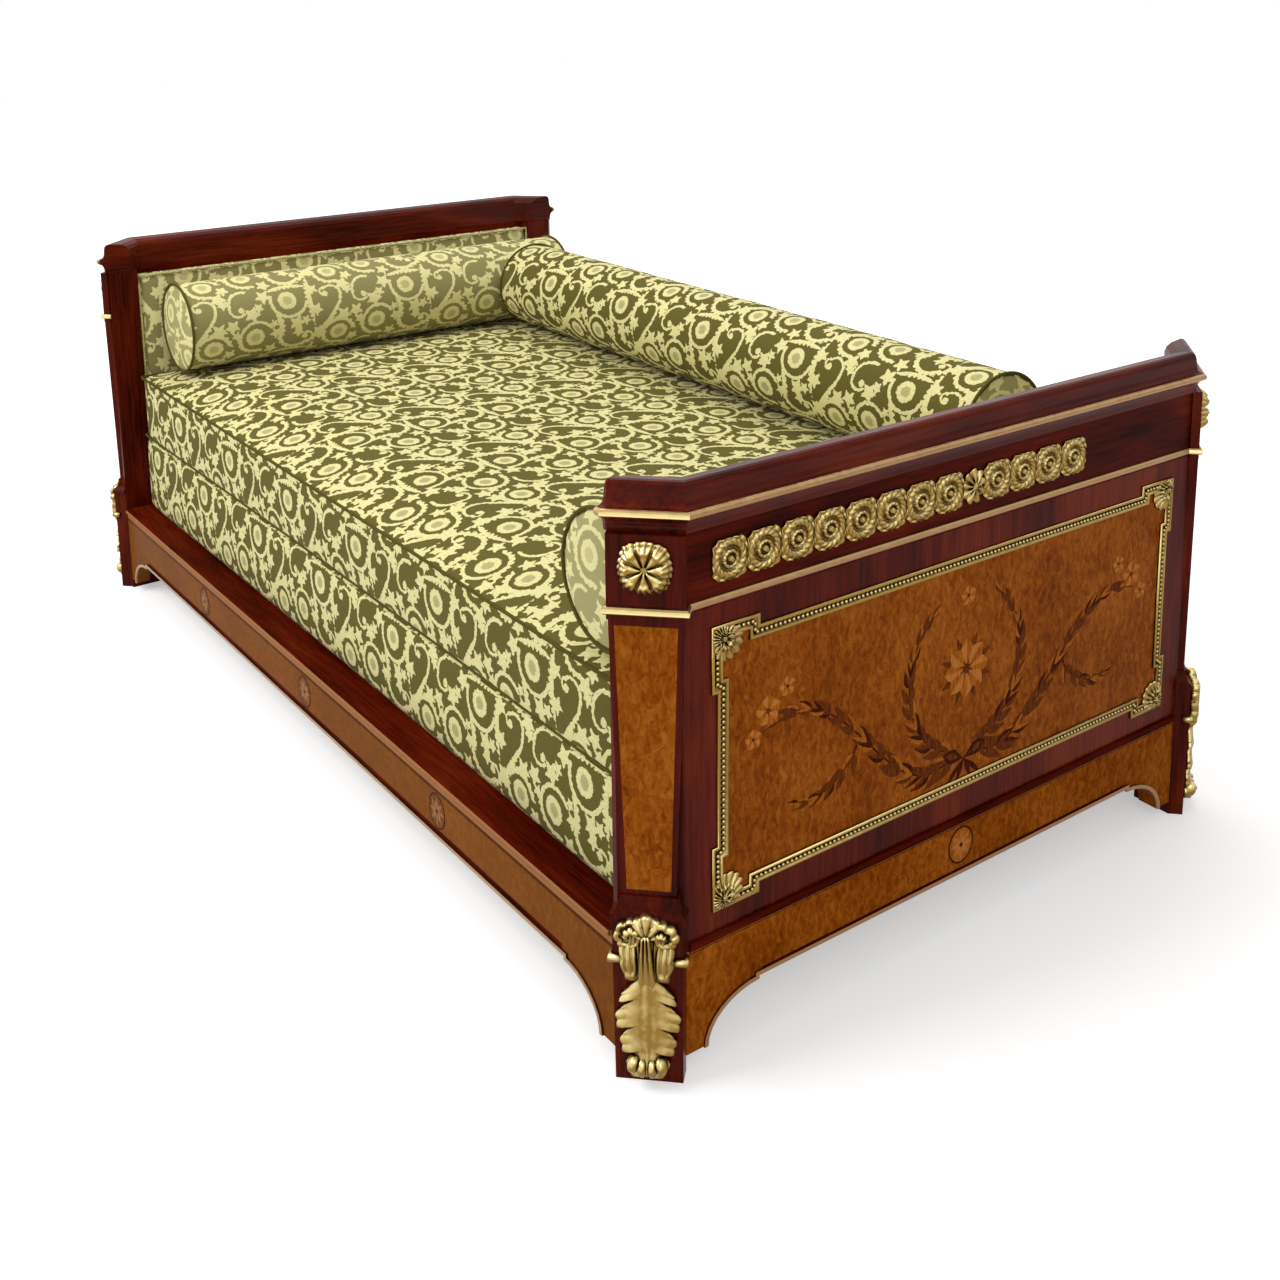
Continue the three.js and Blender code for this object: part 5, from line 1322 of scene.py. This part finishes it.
class DAYBED_OT_panel_frames(bpy.types.Operator):
    """Makes the bronze panel frames: fillets with a row of pearls, and leaves in the corners"""
    bl_idname = "daybed.panel_frames"
    bl_label = "Panel Frames"

    def execute(self, context):
        for end, sign in ENDS:
            place = on_end(sign)
            bm = bmesh.new()
            outlines = [frame_outline(inset) for inset, _ in FRAME_SECTION]
            loft(bm, [
                [place(*spot, lift) for spot, (_, lift) in zip(corner, FRAME_SECTION)]
                for corner in zip(*outlines)], closed=True)
            self.pearls(bm, place)
            for side in (-1, 1):
                for level in (-1, 1):
                    self.corner_leaf(bm, place, side, level)
            gilt_mount(f"{end}_panel_moulding", bm, f"{end}_panel_frame")
        return {"FINISHED"}

    def pearls(self, bm, place):
        """A row of pearls in the hollow of the frame"""
        path = frame_outline(0.0086)
        pitch, radius = 0.0074, 0.0032
        for (y0, z0), (y1, z1) in zip(path, path[1:] + path[:1]):
            count = max(1, round(math.hypot(y1 - y0, z1 - z0) / pitch))
            for i in range(count):
                t = (i + 0.5) / count
                y, z = y0 + (y1 - y0) * t, z0 + (z1 - z0) * t
                rings = []
                for share, lift in ((1, 0), (0.92, 0.45), (0.6, 0.82), (0.1, 1.0)):
                    up = 0.0008 + radius * 1.2 * lift
                    angles = [math.pi * s / 3 for s in range(6)]
                    rings.append([
                        place(y + radius * share * math.cos(a), z + radius * share * math.sin(a), up)
                        for a in angles])
                loft(bm, rings)

    def corner_leaf(self, bm, place, side, level):
        """A quarter fan of leaf tips that fills the corner"""
        inward = math.atan2(-level, -side)

        def reach(angle):
            facing = max(0.0, math.cos(angle - inward))
            lobes = 0.86 + 0.14 * fluted(angle - inward, 18, 0.6)
            return (0.0150 + 0.0210 * facing ** 0.7) * lobes

        def rise(share, angle):
            if share < 0.15:
                return 0.0088
            ring = 0.0034 * math.exp(-((share - 0.46) / 0.07) ** 2)
            flutes = fluted(angle - inward, 9 if share < 0.46 else 18, 0.8)
            return 0.0014 + 0.0046 * flutes * (1 - 0.5 * share ** 4) + ring
        inset = 0.0155
        centre = (side * (FRAME_HALF_WIDTH - inset), PANEL_MIDDLE + level * (FRAME_HALF_HEIGHT - inset))
        round_relief(bm, place, centre, reach, rise, around=126, rows=18)


# Inlays

def flat_shape(bm, place, outline, level=0):
    """A thin flat inlay with an outline in across and up. Each piece lies a hair above the last."""
    thickness = 0.00012 + 0.00004 * level + 0.0000015 * (len(bm.faces) // 12 % 40)
    loft(bm, [[place(a, b, lift) for a, b in outline] for lift in (-0.0001, thickness)])


def petal(base, angle, length, width, bend=0.0, belly=0.7, half=0):
    """Outline of a petal or leaf that bends to one side.

    A greater belly moves its widest part towards the root, and half 1 or -1 gives one half of it.
    """
    edges, rib = ([], []), []
    for i in range(10):
        t = i / 9
        reach = width / 2 * math.sin(math.pi * t ** belly) if 0 < i < 9 else 0.0002
        heading = angle + bend * t
        a = base[0] + length * t * math.cos(heading)
        b = base[1] + length * t * math.sin(heading)
        rib.append((a, b))
        edges[0].append((a - reach * math.sin(heading), b + reach * math.cos(heading)))
        edges[1].append((a + reach * math.sin(heading), b - reach * math.cos(heading)))
    if half:
        return edges[0 if half > 0 else 1] + rib[::-1]
    return edges[0] + edges[1][::-1]


def around_point(centre, reach, angle):
    return centre[0] + reach * math.cos(angle), centre[1] + reach * math.sin(angle)


def stem(path, width):
    """Outline of a stem that thins out along its path."""
    left, right = [], []
    for i, (a, b) in enumerate(path):
        before, after = path[max(0, i - 1)], path[min(len(path) - 1, i + 1)]
        run = math.hypot(after[0] - before[0], after[1] - before[1])
        across, up = -(after[1] - before[1]) / run, (after[0] - before[0]) / run
        half = width / 2 * (1 - 0.6 * i / len(path))
        left.append((a + across * half, b + up * half))
        right.append((a - across * half, b - up * half))
    return left + right[::-1]


class DAYBED_OT_marquetry(bpy.types.Operator):
    """Lays wreath and garlands on the end panels, and the paterae on aprons and rails"""
    bl_idname = "daybed.marquetry"
    bl_label = "Marquetry"

    def execute(self, context):
        for end, sign in ENDS:
            def place(across, up, out, sign=sign):
                return Vector((sign * (END_FACE + 0.0001 + out), sign * across, up))
            shades = {name: bmesh.new() for name in ("blossom", "leaf", "pale", "stem")}
            self.wreath_and_garlands(shades, place)
            self.lay(f"{end}_panel_laurel", shades)
            self.patera(f"{end}_apron_patera", place, (0, APRON_INLAY))
        for side, sign in SIDES:
            def along(across, up, out, sign=sign):
                return Vector((across, sign * (SIDE_FACE + 0.0001 + out), up))
            for index, across in enumerate((-RAIL_INLAY_PITCH, 0.0, RAIL_INLAY_PITCH)):
                self.patera(f"{side}_rail_patera_{index + 1}", along, (across, RAIL_INLAY), "worn", "dull")
        return {"FINISHED"}

    def lay(self, name, shades):
        """Makes one object of the inlays of each shade"""
        for shade, bm in shades.items():
            if bm.verts:
                obj = finish_mesh(f"{name}_{shade}", bm, finish(f"inlay_{shade}"), "frame", smooth=False)

    def wreath_and_garlands(self, shades, place):
        """An open laurel wreath round a rosette, with a garland to each side"""
        knot, heart = (0.0, 0.266), (0.0, 0.403)
        for side in (-1, 1):
            wreath = []
            for i in range(25):
                angle = math.radians(-82 + 134 * i / 24)
                wreath.append((side * 0.112 * math.cos(angle), heart[1] + 0.122 * math.sin(angle)))
            self.laurel(shades, place, wreath, 12, 0.038, 0.0140)
            garland, sprig = [], []
            for i in range(31):
                t = i / 30
                rise = 0.160 * smooth_step(t, 0.1, 1.0) - 0.014 * math.sin(TURN * t)
                garland.append((side * (0.014 + 0.330 * t), 0.274 + rise))
            self.laurel(shades, place, garland, 17, 0.042, 0.0145)
            for i in range(13):
                t = i / 12
                sprig.append((side * (0.205 + 0.105 * t), 0.362 - 0.085 * t ** 0.6 + 0.030 * t ** 3))
            self.laurel(shades, place, sprig, 6, 0.032, 0.0120)
            for across, up, size in ((0.362, 0.452, 0.021), (0.386, 0.420, 0.014), (0.330, 0.476, 0.014)):
                self.blossom(shades, place, (side * across, up), size, 5)
            # loops and tails of the bow
            out = 0 if side > 0 else math.pi
            for angle, length, width in ((0.35, 0.046, 0.021), (-0.75, 0.044, 0.008), (-1.15, 0.034, 0.008)):
                loop = petal(knot, out + side * angle, length, width, belly=1.3)
                flat_shape(shades["stem"], place, loop, 4)
            opening = petal((side * 0.010, 0.270), out + side * 0.35, 0.029, 0.010, belly=1.2)
            flat_shape(shades["leaf"], place, opening, 6)
        self.blossom(shades, place, (0.0, 0.512), 0.015, 5)
        for k in range(8):
            flat_shape(shades["leaf"], place, petal(heart, math.pi / 4 * (k + 0.5), 0.054, 0.016), 1 + k % 2)
        self.blossom(shades, place, heart, 0.044, 8)

    def laurel(self, shades, place, path, pairs, length, width):
        """A branch with pairs of leaves in two tones, smaller towards its tip"""
        flat_shape(shades["stem"], place, stem(path, 0.0034))
        last = len(path) - 1
        for i in range(pairs + 1):
            t = (i + 0.7) / (pairs + 0.7)
            index = round(t * last)
            (a0, b0), (a1, b1) = path[index - 1], path[index]
            heading = math.atan2(b1 - b0, a1 - a0)
            size = 1 - 0.4 * t
            # the last leaf stands alone at the tip
            for side in (-1, 1) if i < pairs else (0,):
                for half in (1, -1):
                    shade = ("leaf", "stem", "leaf", "pale", "leaf")[(2 * i + side + half) % 5]
                    leaf = petal(
                        (a1, b1), heading + side * (0.66 - 0.2 * t), length * size, width * size,
                        bend=-side * 0.25, half=half)
                    flat_shape(shades[shade], place, leaf, 1 + i % 3)

    def blossom(self, shades, place, centre, size, petals):
        """A flower whose petals are laid in two tones, round a dark heart"""
        for k in range(petals):
            angle = TURN / petals * k + math.pi / 2
            root = around_point(centre, size * 0.10, angle)
            for half, shade in ((1, "blossom"), (-1, "pale")):
                leaf = petal(root, angle, size * 0.9, size * 4.6 / petals, belly=1.35, half=half)
                flat_shape(shades[shade], place, leaf, 4 + k % 2)
        heart = [around_point(centre, size * 0.17, t * math.pi / 6) for t in range(12)]
        flat_shape(shades["leaf"], place, heart, 7)

    def patera(self, name, place, centre, leaves="blossom", ground="pale"):
        """An oval with eight leaves on a lighter ground, in a dark line"""
        shades = {shade: bmesh.new() for shade in ("stem", leaves, ground)}

        def oval(across, up, count=36):
            angles = [TURN * i / count for i in range(count)]
            return [(centre[0] + across * math.cos(a), centre[1] + up * math.sin(a)) for a in angles]
        flat_shape(shades["stem"], place, oval(0.0255, 0.0290), 0)
        flat_shape(shades[ground], place, oval(0.0225, 0.0260), 2)
        for k in range(8):
            angle = TURN * k / 8
            length = 0.0195 + 0.002 * abs(math.sin(angle))
            leaf = petal(around_point(centre, 0.0015, angle), angle, length, 0.0085)
            flat_shape(shades[leaves], place, leaf, 4 + k % 2)
        flat_shape(shades["stem"], place, oval(0.0035, 0.0035, 12), 7)
        self.lay(name, shades)


# Stage

class DAYBED_OT_stage(bpy.types.Operator):
    """Sets the pale floor, the soft light and the camera"""
    bl_idname = "daybed.stage"
    bl_label = "Stage"

    def execute(self, context):
        context.scene.view_settings.view_transform = "Standard"
        self.floor()
        self.world(context.scene)
        self.lamps(context.scene)
        self.camera(context.scene)
        return {"FINISHED"}

    def floor(self):
        """A wide sheet of white paper, which shines white to the eye but throws little light on the bed"""
        material, tree, surface = new_material("floor_white_paper")
        path = add_node(tree, "ShaderNodeLightPath")
        seen = add_node(tree, MATH, {
            0: path.outputs["Is Camera Ray"], 1: path.outputs["Is Glossy Ray"]}, operation="MAXIMUM")
        # the paper's glow grows with distance, so that its far edge melts into the white
        place = add_node(tree, PLACE).outputs["Object"]
        away = add_node(tree, VECTOR, {0: place}, operation="LENGTH")
        glow = add_node(tree, RANGE, {
            "Value": away, "From Min": 1.2, "From Max": 4.0, "To Min": 0.42, "To Max": 1.0})
        set_inputs(tree, surface, {
            "Base Color": (0.8, 0.8, 0.8, 1), "Roughness": 0.9, "Specular IOR Level": 0.1,
            "Emission Color": (1, 1, 1, 1),
            "Emission Strength": add_node(tree, MATH, {0: seen, 1: glow}, operation="MULTIPLY")})
        bm = bmesh.new()
        bmesh.ops.create_grid(bm, x_segments=1, y_segments=1, size=14)
        obj = add_object("floor", bm)
        # a hair below the feet
        obj.location.z = -0.0005
        obj.data.materials.append(material)

    def world(self, scene):
        """Even light on the bed, and a white background to the eye and in the gloss"""
        world = bpy.data.worlds.new("studio")
        scene.world = world
        world.use_nodes = True
        tree = world.node_tree
        tree.nodes.clear()
        path = add_node(tree, "ShaderNodeLightPath")
        seen = path.outputs["Is Camera Ray"]
        for kind in ("Is Glossy Ray", "Is Transmission Ray"):
            seen = add_node(tree, MATH, {0: seen, 1: path.outputs[kind]}, operation="MAXIMUM")
        even, white = (
            add_node(tree, "ShaderNodeBackground", {"Color": (1, 1, 1, 1), "Strength": strength})
            for strength in (scene.daybed_stage.sky, 1.0))
        both = add_node(tree, "ShaderNodeMixShader", {0: seen, 1: even, 2: white})
        add_node(tree, "ShaderNodeOutputWorld", {"Surface": both})

    def lamps(self, scene):
        """Three broad soft lamps: name, place, aim, size and power"""
        stage = scene.daybed_stage
        for name, spot, aim, size, power in (
                ("key_light", (-0.6, -3.0, 3.2), (0, 0, 0.4), 2.2, stage.key),
                ("fill_light", (3.6, -1.2, 2.2), (0.5, 0, 0.4), 2.4, stage.fill),
                ("top_light", (-0.3, 0.6, 4.0), (0, 0, 0.4), 3.0, stage.top)):
            light = bpy.data.lights.new(name, "AREA")
            light.size = size
            light.energy = power
            lamp = bpy.data.objects.new(name, light)
            lamp.location = spot
            lamp.rotation_euler = (Vector(aim) - Vector(spot)).to_track_quat("-Z", "Y").to_euler()
            scene.collection.objects.link(lamp)

    def camera(self, scene):
        """The view from the near corner of the foot end, a little from above"""
        camera = bpy.data.cameras.new("camera")
        camera.sensor_width = 36
        camera.lens = 43.757
        camera.shift_x = -0.0439
        camera.shift_y = -0.2906
        eye = bpy.data.objects.new("camera", camera)
        eye.location = (2.4231, -1.5254, 1.3863)
        eye.rotation_euler = [math.radians(a) for a in (78.629, 0.252, 52.867)]
        scene.collection.objects.link(eye)
        scene.camera = eye


STEPS = (
    "case", "leaf_mounts", "rosettes", "frieze_mounts", "panel_frames", "marquetry", "mattress", "bolsters",
    "inner_pads", "stage")


class DAYBED_PT_panel(bpy.types.Panel):
    """Lists the steps that dress the daybed"""
    bl_label = "Daybed"
    bl_space_type = "VIEW_3D"
    bl_region_type = "UI"
    bl_category = "Daybed"

    def draw(self, context):
        scene = context.scene
        for settings in (scene.daybed_wood, scene.daybed_metal, scene.daybed_cloth, scene.daybed_stage):
            box = self.layout.box()
            for name in settings.__annotations__:
                box.prop(settings, name)
        for step in STEPS:
            self.layout.operator(f"daybed.{step}")


GROUPS = {
    "daybed_wood": DaybedWood, "daybed_metal": DaybedMetal,
    "daybed_cloth": DaybedCloth, "daybed_stage": DaybedStage}
OPERATORS = (
    DAYBED_OT_case, DAYBED_OT_leaf_mounts, DAYBED_OT_rosettes, DAYBED_OT_frieze_mounts,
    DAYBED_OT_panel_frames, DAYBED_OT_marquetry, DAYBED_OT_mattress, DAYBED_OT_bolsters,
    DAYBED_OT_inner_pads, DAYBED_OT_stage)


def register():
    for name, group in GROUPS.items():
        bpy.utils.register_class(group)
        setattr(bpy.types.Scene, name, bpy.props.PointerProperty(type=group))
    for cls in OPERATORS + (DAYBED_PT_panel,):
        bpy.utils.register_class(cls)


def unregister():
    for cls in OPERATORS + (DAYBED_PT_panel,):
        bpy.utils.unregister_class(cls)
    for name, group in GROUPS.items():
        delattr(bpy.types.Scene, name)
        bpy.utils.unregister_class(group)


def main():
    register()
    for step in STEPS:
        getattr(bpy.ops.daybed, step)()


if __name__ == "__main__":
    main()
